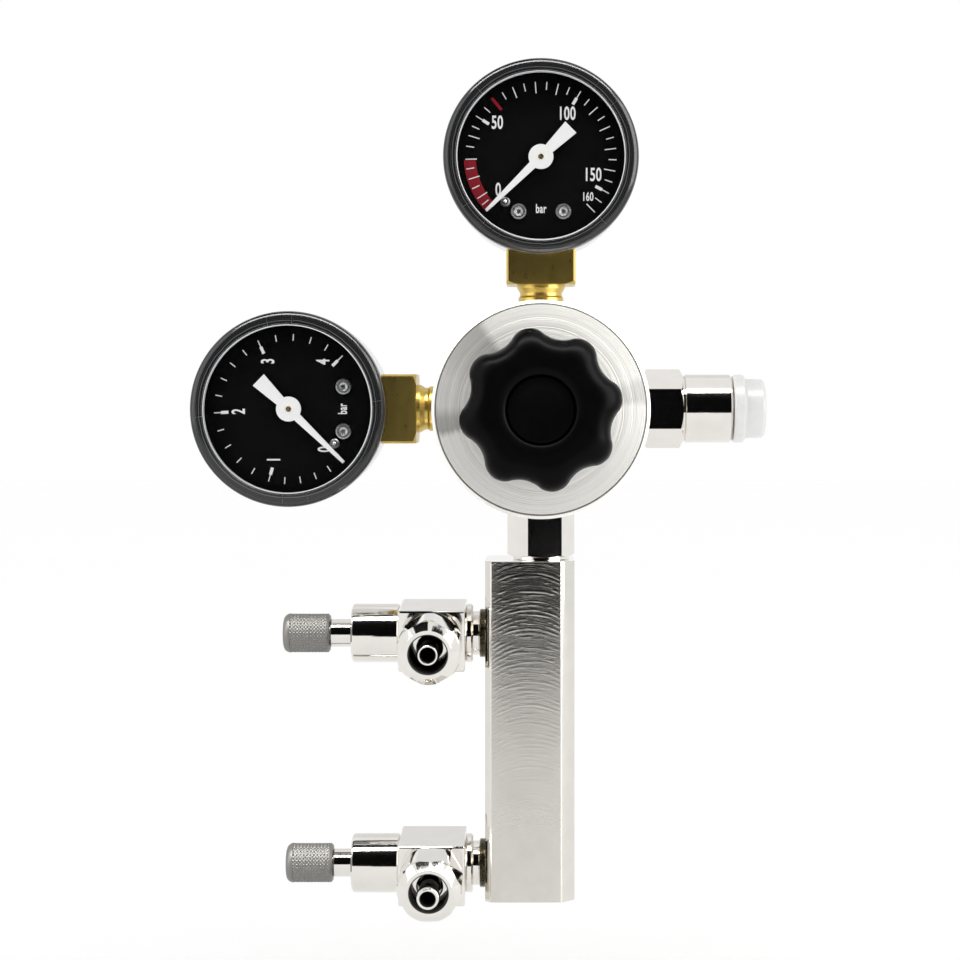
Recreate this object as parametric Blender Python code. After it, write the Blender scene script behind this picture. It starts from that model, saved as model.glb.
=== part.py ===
"""Carbon dioxide regulator with two gauges and a manifold that carries two needle valves.

Metres, +Z up. The origin is the middle of the inlet's mouth. +X points out of the inlet, and the
star knob and both dials face -Y. A turned piece is drawn as a profile of (radius, height) points
that is spun round its own +Z, and an empty called a station sets that axis in place.
"""

import math

import bmesh
import bpy
from mathutils import Matrix, Vector

# Fits
SEAT_GAP = 0.0003
FINE_GAP = 0.00015
THREAD_GAP = 0.0003

# Regulator body and bonnet, heights measured from the plane of the ports towards the knob
AXIS_TO_MOUTH = 0.039
BODY_RADIUS = 0.0213
BODY_BACK = -0.013
BODY_FRONT = 0.0079
BODY_EDGE = 0.001
BODY_RIM = 0.003
SPIGOT_RADIUS = BODY_RADIUS - BODY_RIM
SPIGOT_TOP = 0.0105
DIAPHRAGM_LAND = 0.0041
LOW_CHAMBER_RADIUS = SPIGOT_RADIUS - DIAPHRAGM_LAND
LOW_CHAMBER_FLOOR = 0.0068
BONNET_RIM = 0.0255
BONNET_EDGE = 0.0005
BONNET_CONE_RISE = 0.0018
BONNET_HUB = BONNET_RIM + BONNET_EDGE + BONNET_CONE_RISE
SPRING_CHAMBER_SHARE = 0.5446
SPRING_CHAMBER_RADIUS = BODY_RADIUS * SPRING_CHAMBER_SHARE
SPRING_CHAMBER_TOP = 0.0235
BONNET_BOSS_SHARE = 0.385
BONNET_BOSS_RADIUS = BODY_RADIUS * BONNET_BOSS_SHARE
DIAPHRAGM_THICKNESS = 0.0008
DIAPHRAGM_WAVE = 0.0006

# Ports round the body, distances measured from the body's axis
PORT_THREAD_RADIUS = 0.00486
PORT_SPOT_DEPTH = 0.0006
PORT_FACE = BODY_RADIUS - PORT_SPOT_DEPTH
PORT_FACE_RADIUS = 0.0074
PORT_DEPTH = 0.0093
DRILL_RADIUS = 0.0016

# Adjusting screw and star knob
SPINDLE_RADIUS = 0.004
SPINDLE_STEM_RADIUS = 0.003
SPINDLE_TRAVEL = 0.003
KNOB_CLEARANCE = 0.0004
KNOB_BACK = BONNET_HUB + SPINDLE_TRAVEL + KNOB_CLEARANCE
KNOB_HEIGHT = 0.0125
KNOB_DOME_HEIGHT = 0.00525
KNOB_DOME_SHRINK = 0.3
KNOB_DOME_STEPS = 4
KNOB_FOOT_HEIGHT = 0.0009
KNOB_FOOT_SCALE = 0.955
KNOB_LOBE_RADIUS = 0.0156
KNOB_VALLEY_RADIUS = 0.0136
KNOB_LOBES = 8
KNOB_FIRST_LOBE = math.radians(-10)
KNOB_DISH_RADIUS = 0.0066
KNOB_DISH_DEPTH = 0.0022
KNOB_CAP_HEIGHT = 0.0012
KNOB_HOLLOW_RADIUS = 0.0112
KNOB_WALL = 0.0022
KNOB_HUB_RADIUS = 0.0062

# Springs
MAIN_SPRING_SHARE = 0.586
MAIN_SPRING_RADIUS = SPRING_CHAMBER_RADIUS * MAIN_SPRING_SHARE
MAIN_SPRING_WIRE = 0.0008
MAIN_SPRING_TURNS = 3
POPPET_SPRING_RADIUS = 0.0021
POPPET_SPRING_WIRE = 0.0003
POPPET_SPRING_TURNS = 4
PLATE_SHARE = 0.741
PLATE_RADIUS = SPRING_CHAMBER_RADIUS * PLATE_SHARE
PLATE_THICKNESS = 0.0013

# Valve seat and poppet
HIGH_CHAMBER_RADIUS = 0.0042
SEAT_THREAD_RADIUS = 0.003
SEAT_HEAD_RADIUS = 0.0042
SEAT_HEAD_HEIGHT = 0.0012
SEAT_END = 0.0008
SEAT_BORE = 0.0011
POPPET_RADIUS = 0.0028
POPPET_HEAD = 0.003
POPPET_PIN_RADIUS = 0.0007
POPPET_TAIL_RADIUS = 0.0013
POPPET_TAIL = 0.0015
PLUG_HEIGHT = 0.0045
PLUG_KEY = 0.004

# Inlet at the right
HEX_CHAMFER = 0.0005
INLET_HEX = 0.014
INLET_BARREL_RADIUS = 0.007
INLET_BARREL_LENGTH = 0.01005
INLET_THREAD_RADIUS = 0.0047
INLET_THREAD_DEPTH = 0.0085
INLET_PASSAGE = 0.0019
FILTER_RADIUS = 0.0036
FILTER_THICKNESS = 0.0018
PLUG_FLANGE = 0.0024
PLUG_HEAD_RADIUS = 0.006
PLUG_HEAD_LENGTH = 0.0042
PLUG_STUD_LENGTH = 0.0055

# Outlet nipple and manifold block
NIPPLE_HEX = 0.012
NIPPLE_TURN = math.radians(7.5)
NIPPLE_TOP = -PORT_FACE - SEAT_GAP
NIPPLE_HEX_LENGTH = 0.0092
NIPPLE_THREAD = 0.0075
NIPPLE_BORE = 0.0022
BLOCK_WIDTH = 0.0181
BLOCK_DEPTH = 0.018
BLOCK_LENGTH = 0.0687
BLOCK_LEFT_EDGE = 0.0013
BLOCK_RIGHT_EDGE = 0.0028
BLOCK_CORNER = 0.0005
BLOCK_OFFSET = -0.00225
BLOCK_PASSAGE = 0.0024
BLOCK_TOP = NIPPLE_TOP - NIPPLE_HEX_LENGTH - 2 * SEAT_GAP
UPPER_VALVE_DROP = 0.0153
LOWER_VALVE_RISE = 0.0062
VALVE_HEIGHTS = {
    "upper_valve": BLOCK_TOP - UPPER_VALVE_DROP,
    "lower_valve": BLOCK_TOP - BLOCK_LENGTH + LOWER_VALVE_RISE,
}
VALVE_TILTS = {"upper_valve": math.radians(4.0), "lower_valve": math.radians(4.5)}

# Gauges, heights measured from the plane of the socket towards the dial
GAUGE_REACH = 0.0506
CASE_RADIUS = 0.0192
CASE_WALL = 0.0009
CASE_BACK = -0.011
CASE_SHOULDER = 0.009
CASE_STEP = 0.0012
CASE_NECK_RADIUS = CASE_RADIUS - CASE_STEP
CASE_LIP = 0.0122
LENS_OVERHANG = 0.0002
LENS_RADIUS = CASE_RADIUS + LENS_OVERHANG
LENS_FRONT = 0.0141
LENS_THICKNESS = 0.0015
DIAL_CLEARANCE = 0.0002
DIAL_RADIUS = CASE_NECK_RADIUS - CASE_WALL - DIAL_CLEARANCE
LENS_CHAMFER = 0.0027
LENS_FLAT_RADIUS = LENS_RADIUS - LENS_CHAMFER
DIAL_FACE = 0.01
DIAL_THICKNESS = 0.0004
SOCKET_SQUARE = 0.014
SOCKET_END = 0.0253
HOLDER_WIDTH = 0.013
HOLDER_DEPTH = 0.008
HOLDER_TOP = -0.0066
SCREW_SPREAD = 0.0045
SCREW_DROP = 0.0109
POST_RADIUS = 0.0015
SCREW_HEAD_RADIUS = 0.0016
SCREW_HEAD_HEIGHT = 0.0005
SCREW_SHANK_RADIUS = 0.0006
SCREW_LENGTH = 0.003

# Gauge works
MODULES_ACROSS_CASE = 76.8
TOOTH_MODULE = CASE_RADIUS / MODULES_ACROSS_CASE
PINION_TEETH = 10
SECTOR_WHEEL_TEETH = 60
SECTOR_SPARE_TEETH = 1
TOOTH_TIP_HEIGHT = 0.8 * TOOTH_MODULE
TOOTH_ROOT_DEPTH = 1.1 * TOOTH_MODULE
TOOTH_TIP_SHARE = 0.13
TOOTH_ROOT_SHARE = 0.27
SECTOR_THICKNESS = 0.0008
WORKS_PLATE = 0.0007
WORKS_FLOOR = 0.0044
WORKS_TOP = 0.0082
PIVOT_BEARING = math.radians(-50.2)
PINION_SHAFT_RADIUS = 0.0005
SECTOR_PIN_RADIUS = 0.0006
SECTOR_HUB_RADIUS = 0.0013
SECTOR_HUB_STEP = math.radians(28)
SECTOR_TAIL = 0.0035
TAIL_BEARING = math.radians(-35)
LINK_THICKNESS = 0.0005
LINK_PEG_RADIUS = 0.00036
LINK_WIDTH = 0.0011
PLATE_MARGIN = 0.002
PILLAR_RADIUS = 0.00045
STOP_REACH = 0.0115
STOP_ANGLE = math.radians(6.8)
STOP_RADIUS = 0.00045
TUBE_SHARE = 2 / 3
TUBE_RADIUS = CASE_RADIUS * TUBE_SHARE
TUBE_HALF_WALL = 0.001
TUBE_HALF_WIDTH = 0.003
TUBE_END_BEARING = math.radians(-22)
POINTER_HUB_RADIUS = 0.0025
POINTER_MARGIN = 0.0015
POINTER_LENGTH = DIAL_RADIUS - POINTER_MARGIN
POINTER_TAIL = 0.0084
POINTER_THICKNESS = 0.0004
POINTER_HEIGHT = 0.0112
POINTER_ROOT_WIDTH = 0.0018
POINTER_TIP_WIDTH = 0.0006
POINTER_TAIL_WIDTH = 0.0032
GAUGE_SWEEPS = {"tank_gauge": math.radians(270.1), "working_gauge": math.radians(271)}
GAUGE_ZEROS = {"tank_gauge": math.radians(225.5), "working_gauge": math.radians(224)}

# Needle valves, distances measured out from the block's left face
VALVE_SQUARE = 0.0135
VALVE_SQUARE_START = 0.004
VALVE_SQUARE_END = 0.0175
VALVE_EDGE = 0.0004
VALVE_THREAD_RADIUS = 0.0047
VALVE_THREAD_DEPTH = 0.0062
VALVE_RELIEF_RADIUS = 0.0041
VALVE_COLLAR_RADIUS = 0.006
VALVE_COLLAR_START = 0.0026
PORT_RING_RADIUS = 0.005
PORT_RING_THICKNESS = 0.0011
VALVE_SEAT_RADIUS = 0.0008
VALVE_CHAMBER_RADIUS = 0.0049
VALVE_CHAMBER_FLOOR = 0.0072
GLAND_RADIUS = 0.006
GLAND_END = 0.0274
GLAND_SPIGOT = 0.004
PACKING_RADIUS = 0.004
PACKING_END = 0.024
STEM_RADIUS = 0.00285
STEM_END = 0.0382
STEM_TENON = 0.002
NEEDLE_RADIUS = 0.0014
NEEDLE_SHOULDER = 0.0145
NEEDLE_CONE = 0.0025
NEEDLE_TIP_RADIUS = 0.0003
O_RING_SECTION = 0.0004
O_RING_STATION = 0.0207
VALVE_KNOB_START = 0.0314
VALVE_KNOB_LENGTH = 0.0095
VALVE_KNOB_RADIUS = 0.004
VALVE_KNOB_DOME = 0.0014
VALVE_KNOB_RIBS = 20
VALVE_RIB_DEPTH = 0.00018
VALVE_OPENINGS = {"upper_valve": 0.0006, "lower_valve": 0.0}

# Hose outlets, distances measured out from the needle valve's axis
OUTLET_STATION = 0.01075
BOSS_RADIUS = 0.0059
BOSS_END = 0.0088
OUTLET_THREAD_RADIUS = 0.0047
OUTLET_THREAD_END = 0.0165
OUTLET_BORE = 0.0027
NOZZLE_RADIUS = 0.00212
NOZZLE_BORE = 0.00155
NOZZLE_TIP = 0.025
NOZZLE_BULGE = 0.00015
NOZZLE_BULGE_START = 0.001
NOZZLE_BULGE_END = 0.0025
NOZZLE_SHOULDER_RADIUS = 0.0033
NOZZLE_SHOULDER = 0.0014
NOZZLE_ROOT = 0.0105
UNION_HEX = 0.012
UNION_LENGTH = 0.011
UNION_CONE = 0.0022
UNION_RIM_RADIUS = 0.00475
UNION_BORE = 0.00375
UNION_THREAD_LENGTH = 0.0068
UNION_STARTS = {"upper_valve": 0.0133, "lower_valve": 0.0103}
UNION_TURNS = {"upper_valve": math.radians(30), "lower_valve": 0.0}

FRONT = Vector((0, -1, 0))
UP = Vector((0, 0, 1))
RIGHT = Vector((1, 0, 0))
PORT_DIRECTIONS = {"inlet_port": RIGHT, "tank_port": UP, "working_port": -RIGHT, "outlet_port": -UP}

FINE_STEPS = 32
KNOB_STEPS = 40
ROUND_STEPS = 20
SMALL_STEPS = 12
TINY_STEPS = 8


def clear_scene():
    for thing in list(bpy.data.objects):
        bpy.data.objects.remove(thing, do_unlink=True)


def make_material(name, colour, roughness, metallic):
    """A Principled material in one colour."""
    surface = bpy.data.materials.new(name)
    surface.use_nodes = True
    shader = surface.node_tree.nodes["Principled BSDF"]
    shader.inputs["Base Color"].default_value = (*colour, 1.0)
    shader.inputs["Roughness"].default_value = roughness
    shader.inputs["Metallic"].default_value = metallic
    surface.diffuse_color = (*colour, 1.0)
    return surface


def make_finishes():
    """The finishes that the pieces share, by name."""
    return {
        "nickel": make_material("polished_nickel", (0.72, 0.70, 0.67), 0.12, 1.0),
        "milled": make_material("milled_nickel", (0.62, 0.60, 0.56), 0.38, 1.0),
        "brass": make_material("satin_brass", (0.55, 0.41, 0.13), 0.35, 1.0),
        "bright_brass": make_material("bright_brass", (0.75, 0.58, 0.25), 0.25, 1.0),
        "steel": make_material("spring_steel", (0.45, 0.45, 0.46), 0.3, 1.0),
        "case": make_material("silver_case", (0.7, 0.7, 0.7), 0.25, 1.0),
        "black_plastic": make_material("black_plastic", (0.02, 0.02, 0.022), 0.4, 0.0),
        "dial": make_material("black_dial", (0.012, 0.012, 0.013), 0.35, 0.0),
        "white": make_material("white_pointer", (0.85, 0.85, 0.85), 0.4, 0.0),
        "clear": make_material("clear_lens", (0.85, 0.87, 0.88), 0.08, 0.0),
        "plug": make_material("milky_plastic", (0.88, 0.88, 0.86), 0.4, 0.0),
        "rubber": make_material("black_rubber", (0.03, 0.03, 0.03), 0.7, 0.0),
        "seal": make_material("white_seal", (0.8, 0.8, 0.78), 0.5, 0.0),
    }


def station(name, place, along, across, parent=None):
    """An empty whose +Z points along and whose +X points across; both are in its parent's frame."""
    lift = Vector(along).normalized()
    side = Vector(across)
    side = (side - side.dot(lift) * lift).normalized()
    empty = bpy.data.objects.new(name, None)
    bpy.context.scene.collection.objects.link(empty)
    turn = Matrix((side, lift.cross(side), lift)).transposed().to_4x4()
    empty.matrix_local = Matrix.Translation(place) @ turn
    if parent is not None:
        empty.parent = parent
    return empty


def place_mesh(name, shape, parent, surface, smooth_angle=35):
    """Turns a bmesh into a named object on a station, shaded smooth except at its sharp edges."""
    bmesh.ops.remove_doubles(shape, verts=shape.verts[:], dist=1e-7)
    bmesh.ops.recalc_face_normals(shape, faces=shape.faces[:])
    mesh = bpy.data.meshes.new(name)
    shape.to_mesh(mesh)
    shape.free()
    mesh.materials.append(surface)
    mesh.shade_smooth()
    mesh.set_sharp_from_angle(angle=math.radians(smooth_angle))
    piece = bpy.data.objects.new(name, mesh)
    bpy.context.scene.collection.objects.link(piece)
    piece.parent = parent
    return piece


def spun(profile, steps):
    """A bmesh of a profile spun round +Z. A profile that starts and ends on the axis is closed there."""
    shape = bmesh.new()
    points = [shape.verts.new((radius, 0, height)) for radius, height in profile]
    lines = [shape.edges.new(pair) for pair in zip(points, points[1:])]
    if profile[0][0] > 0:
        lines.append(shape.edges.new((points[-1], points[0])))
    bmesh.ops.spin(
        shape, geom=points + lines, cent=(0, 0, 0), axis=(0, 0, 1),
        angle=math.tau, steps=steps, use_merge=True,
    )
    bmesh.ops.remove_doubles(shape, verts=shape.verts[:], dist=1e-7)
    return shape


def turned(name, profile, parent, surface, steps=ROUND_STEPS):
    return place_mesh(name, spun(profile, steps), parent, surface)


def prism(outline, low, high):
    """A bmesh of a flat outline of (x, y) points, extruded from low to high."""
    shape = bmesh.new()
    face = shape.faces.new([shape.verts.new((x, y, low)) for x, y in outline])
    grown = bmesh.ops.extrude_face_region(shape, geom=[face])
    top = [part for part in grown["geom"] if isinstance(part, bmesh.types.BMVert)]
    bmesh.ops.translate(shape, verts=top, vec=(0, 0, high - low))
    return shape


def ring_of_points(radius, count, turn=0.0):
    steps = [turn + math.tau * index / count for index in range(count)]
    return [(radius * math.cos(step), radius * math.sin(step)) for step in steps]


def hexagon(across_flats, turn=0.0):
    return ring_of_points(across_flats / 2 / math.cos(math.pi / 6), 6, turn)


def hex_profile(across_flats, low, high, chamfer):
    """The spun blank that a chamfered hexagon is cut from."""
    corner = across_flats / 2 / math.cos(math.pi / 6)
    flat = across_flats / 2
    return [
        (0, high), (flat, high), (corner + chamfer, high - chamfer),
        (corner + chamfer, low + chamfer), (flat, low), (0, low),
    ]


def oblong(middle_x, middle_y, width, height):
    return [
        (middle_x - width / 2, middle_y - height / 2), (middle_x + width / 2, middle_y - height / 2),
        (middle_x + width / 2, middle_y + height / 2), (middle_x - width / 2, middle_y + height / 2),
    ]


def combine(piece, shape, operation, label, parent=None):
    """Cuts, joins or intersects a piece with a bmesh by a Boolean modifier on a hidden helper."""
    surface = piece.data.materials[0]
    helper = place_mesh(f"{piece.name}_{label}", shape, parent or piece.parent, surface)
    apply_to(piece, helper, operation, label)


def as_helper(piece):
    """Hides an object that only shapes another one."""
    piece.hide_render = True
    piece.display_type = "WIRE"
    return piece


def apply_to(piece, helper, operation, label):
    change = piece.modifiers.new(label, "BOOLEAN")
    change.operation = operation
    change.object = as_helper(helper)
    change.solver = "EXACT"


def cut(piece, shape, label, parent=None):
    combine(piece, shape, "DIFFERENCE", label, parent)


def join(piece, shape, label, parent=None):
    combine(piece, shape, "UNION", label, parent)


def join_hexagon(piece, name, across_flats, turn, low, high):
    """Joins a hexagon with chamfered corners to a turned piece."""
    surface = piece.data.materials[0]
    blank = place_mesh(name, prism(hexagon(across_flats, turn), low, high), piece.parent, surface)
    turned_blank = spun(hex_profile(across_flats, low, high, HEX_CHAMFER), ROUND_STEPS)
    combine(blank, turned_blank, "INTERSECT", "chamfers")
    apply_to(piece, blank, "UNION", name)


def coil(name, radius, wire, low, high, turns, parent, surface, sides=6):
    """A compression spring whose first and last turns lie flat."""
    shape = bmesh.new()
    count = round(TINY_STEPS * turns)
    climb = high - low - 2 * wire
    previous = None
    for index in range(count + 1):
        share = index / count
        bend = math.tau * turns * share
        rise = low + wire + climb * share
        turn = Matrix.Rotation(bend, 4, "Z")
        lean = Matrix.Rotation(math.atan2(climb, math.tau * radius * turns), 4, "X")
        spot = Matrix.Translation((0, 0, rise)) @ turn @ Matrix.Translation((radius, 0, 0)) @ lean
        loop = bmesh.ops.create_circle(
            shape, segments=sides, radius=wire, cap_ends=index in (0, count),
            matrix=spot @ Matrix.Rotation(math.pi / 2, 4, "X"),
        )["verts"]
        edges = {edge for vert in loop for edge in vert.link_edges if edge.other_vert(vert) in loop}
        if previous is not None:
            bmesh.ops.bridge_loops(shape, edges=list(previous | edges))
        previous = edges
    return place_mesh(name, shape, parent, surface)


def port_shape(drill_end):
    """The cutter of one port, its +Z pointing out of the body: spot face, threaded bore and drilling."""
    mouth = BODY_RADIUS + BODY_EDGE
    bottom = PORT_FACE - PORT_DEPTH
    return spun(
        [
            (0, mouth), (PORT_FACE_RADIUS, mouth), (PORT_FACE_RADIUS, PORT_FACE),
            (PORT_THREAD_RADIUS + THREAD_GAP, PORT_FACE), (PORT_THREAD_RADIUS + THREAD_GAP, bottom),
            (DRILL_RADIUS, bottom), (DRILL_RADIUS, drill_end), (0, drill_end),
        ],
        SMALL_STEPS,
    )


def make_body(axis, ports, finishes):
    """The turned body: a closed back, four ports, the seat's bore and the spigot for the bonnet."""
    high_floor = BODY_BACK - BODY_EDGE
    body = turned(
        "regulator_body",
        [
            (0, SPIGOT_TOP), (SPIGOT_RADIUS, SPIGOT_TOP), (SPIGOT_RADIUS, BODY_FRONT),
            (BODY_RADIUS, BODY_FRONT), (BODY_RADIUS, BODY_BACK + BODY_EDGE),
            (BODY_RADIUS - BODY_EDGE, BODY_BACK), (0, BODY_BACK),
        ],
        axis, finishes["nickel"], FINE_STEPS,
    )
    chambers = spun(
        [
            (0, SPIGOT_TOP + BODY_EDGE), (LOW_CHAMBER_RADIUS, SPIGOT_TOP + BODY_EDGE),
            (LOW_CHAMBER_RADIUS, LOW_CHAMBER_FLOOR),
            (SEAT_THREAD_RADIUS + THREAD_GAP, LOW_CHAMBER_FLOOR),
            (SEAT_THREAD_RADIUS + THREAD_GAP, SEAT_END), (HIGH_CHAMBER_RADIUS, SEAT_END),
            (HIGH_CHAMBER_RADIUS, high_floor), (0, high_floor),
        ],
        SMALL_STEPS,
    )
    cut(body, chambers, "chambers")
    for name in ("inlet_port", "tank_port"):
        cut(body, port_shape(HIGH_CHAMBER_RADIUS / 2), name, ports[name])
    riser_reach = PORT_FACE - PORT_DEPTH + DRILL_RADIUS
    for name in ("working_port", "outlet_port"):
        cut(body, port_shape(PORT_FACE - PORT_DEPTH - DRILL_RADIUS / 2), name, ports[name])
        riser = prism(ring_of_points(DRILL_RADIUS, TINY_STEPS), 0, LOW_CHAMBER_FLOOR + BODY_EDGE)
        foot = ports[name].location + PORT_DIRECTIONS[name] * riser_reach
        cut(body, riser, f"{name}_riser", station(f"{name}_riser_axis", foot, FRONT, UP))


def make_bonnet(axis, finishes):
    """The front cover: a skirt over the spigot, the spring chamber and the boss for the spindle."""
    shoulder = SPIGOT_TOP + DIAPHRAGM_THICKNESS + 2 * SEAT_GAP
    bore = SPINDLE_RADIUS + THREAD_GAP
    turned(
        "bonnet",
        [
            (bore, BONNET_HUB), (BONNET_BOSS_RADIUS, BONNET_HUB),
            (BODY_RADIUS - BONNET_EDGE, BONNET_RIM + BONNET_EDGE),
            (BODY_RADIUS, BONNET_RIM), (BODY_RADIUS, BODY_FRONT + SEAT_GAP),
            (SPIGOT_RADIUS + THREAD_GAP, BODY_FRONT + SEAT_GAP), (SPIGOT_RADIUS + THREAD_GAP, shoulder),
            (SPRING_CHAMBER_RADIUS, shoulder), (SPRING_CHAMBER_RADIUS, SPRING_CHAMBER_TOP),
            (bore, SPRING_CHAMBER_TOP),
        ],
        axis, finishes["nickel"], FINE_STEPS,
    )


def make_diaphragm(axis, finishes):
    """The rubber disc, with one moulded wave between its rim and its middle."""
    low = SPIGOT_TOP + SEAT_GAP
    wave_inner, wave_outer = PLATE_RADIUS + SEAT_GAP, SPRING_CHAMBER_RADIUS - SEAT_GAP
    middle = (wave_inner + wave_outer) / 2
    top = low + DIAPHRAGM_THICKNESS
    turned(
        "diaphragm",
        [
            (0, top), (wave_inner, top), (middle, top + DIAPHRAGM_WAVE), (wave_outer, top),
            (SPIGOT_RADIUS, top), (SPIGOT_RADIUS, low), (wave_outer, low),
            (middle, low + DIAPHRAGM_WAVE), (wave_inner, low), (0, low),
        ],
        axis, finishes["rubber"],
    )


def make_spring_stack(axis, button_axis, finishes):
    """The plate on the diaphragm, the main spring and the button that the spindle pushes."""
    plate_low = SPIGOT_TOP + DIAPHRAGM_THICKNESS + 2 * SEAT_GAP
    plate_top = plate_low + PLATE_THICKNESS
    guide = MAIN_SPRING_RADIUS - MAIN_SPRING_WIRE - SEAT_GAP
    turned(
        "diaphragm_plate",
        [
            (0, plate_top + PLATE_THICKNESS), (guide, plate_top + PLATE_THICKNESS), (guide, plate_top),
            (PLATE_RADIUS, plate_top), (PLATE_RADIUS, plate_low), (0, plate_low),
        ],
        axis, finishes["bright_brass"], SMALL_STEPS,
    )
    button_top = SPRING_CHAMBER_TOP - SEAT_GAP
    button_low = button_top - PLATE_THICKNESS
    dimple = SPINDLE_STEM_RADIUS + THREAD_GAP
    turned(
        "spring_button",
        [
            (0, button_top - PLATE_THICKNESS / 2), (dimple, button_top - PLATE_THICKNESS / 2),
            (dimple, button_top), (PLATE_RADIUS, button_top), (PLATE_RADIUS, button_low),
            (guide, button_low), (guide, button_low - PLATE_THICKNESS),
            (0, button_low - PLATE_THICKNESS),
        ],
        button_axis, finishes["steel"], SMALL_STEPS,
    )
    coil(
        "main_spring", MAIN_SPRING_RADIUS, MAIN_SPRING_WIRE, plate_top + SEAT_GAP,
        button_low - SEAT_GAP, MAIN_SPRING_TURNS, axis, finishes["steel"],
    )


def star_outline(scale, swell):
    """The knob's edge: lobes and valleys that fade into a circle as swell goes to 0."""
    middle = (KNOB_LOBE_RADIUS + KNOB_VALLEY_RADIUS) / 2
    wave = (KNOB_LOBE_RADIUS - KNOB_VALLEY_RADIUS) / 2
    points = []
    for index in range(KNOB_STEPS):
        bearing = math.tau * index / KNOB_STEPS
        lobe = math.cos(KNOB_LOBES * (math.pi / 2 - bearing - KNOB_FIRST_LOBE))
        reach = scale * (middle + swell * wave * lobe)
        points.append((reach * math.cos(bearing), reach * math.sin(bearing)))
    return points


def lofted(sections):
    """A bmesh bridged through closed outlines, each a list of (x, y) points and a height, with flat ends."""
    shape = bmesh.new()
    loops = []
    for outline, height in sections:
        points = [shape.verts.new((x, y, height)) for x, y in outline]
        loops.append([shape.edges.new((a, b)) for a, b in zip(points, points[1:] + points[:1])])
    for lower, upper in zip(loops, loops[1:]):
        bmesh.ops.bridge_loops(shape, edges=lower + upper)
    for loop in (loops[0], loops[-1]):
        bmesh.ops.contextual_create(shape, geom=loop)
    return shape


def make_knob(axis, finishes):
    """The star knob: lobed skirt, domed front with a dish, hollow back with a hub, and its cap."""
    front = KNOB_BACK + KNOB_HEIGHT
    shoulder = front - KNOB_DOME_HEIGHT
    sections = [
        (star_outline(KNOB_FOOT_SCALE, 1.0), KNOB_BACK),
        (star_outline(1.0, 1.0), KNOB_BACK + KNOB_FOOT_HEIGHT),
        (star_outline(1.0, 1.0), shoulder),
    ]
    for step in range(1, KNOB_DOME_STEPS + 1):
        bend = math.pi / 2 * step / KNOB_DOME_STEPS
        width = 1 - KNOB_DOME_SHRINK * (1 - math.cos(bend)) ** 1.2
        outline = star_outline(width, math.cos(bend) ** 0.7)
        sections.append((outline, shoulder + KNOB_DOME_HEIGHT * math.sin(bend)))
    knob = place_mesh("adjusting_knob", lofted(sections), axis, finishes["black_plastic"])
    dish = front - KNOB_DISH_DEPTH
    over = front + KNOB_WALL
    under = KNOB_BACK - KNOB_WALL
    roof = dish - KNOB_WALL
    recess = [(0, over), (KNOB_DISH_RADIUS, over), (KNOB_DISH_RADIUS, dish), (0, dish)]
    cut(knob, spun(recess, SMALL_STEPS), "dish")
    hollow = [
        (KNOB_HUB_RADIUS, roof), (KNOB_HOLLOW_RADIUS, roof),
        (KNOB_HOLLOW_RADIUS, under), (KNOB_HUB_RADIUS, under),
    ]
    cut(knob, spun(hollow, SMALL_STEPS), "hollow")
    cut(knob, prism(ring_of_points(SPINDLE_STEM_RADIUS + SEAT_GAP, SMALL_STEPS), under, roof), "bore")
    cap_low = dish + SEAT_GAP
    rim = KNOB_DISH_RADIUS - SEAT_GAP
    turned(
        "knob_cap",
        [
            (0, cap_low + KNOB_CAP_HEIGHT * 0.7), (rim * 0.6, cap_low + KNOB_CAP_HEIGHT * 0.75),
            (rim - KNOB_CAP_HEIGHT * 0.4, cap_low + KNOB_CAP_HEIGHT), (rim, cap_low + KNOB_CAP_HEIGHT * 0.8),
            (rim, cap_low), (0, cap_low),
        ],
        axis, finishes["black_plastic"], SMALL_STEPS,
    )
    tip = SPRING_CHAMBER_TOP - PLATE_THICKNESS / 2
    neck = KNOB_BACK - SEAT_GAP
    turned(
        "adjusting_spindle",
        [
            (0, roof - SEAT_GAP), (SPINDLE_STEM_RADIUS, roof - SEAT_GAP), (SPINDLE_STEM_RADIUS, neck),
            (SPINDLE_RADIUS, neck), (SPINDLE_RADIUS, SPRING_CHAMBER_TOP + SEAT_GAP),
            (SPINDLE_STEM_RADIUS, SPRING_CHAMBER_TOP), (SPINDLE_STEM_RADIUS * 0.8, tip + SEAT_GAP),
            (SPINDLE_STEM_RADIUS * 0.4, tip), (0, tip),
        ],
        axis, finishes["steel"], SMALL_STEPS,
    )


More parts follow.
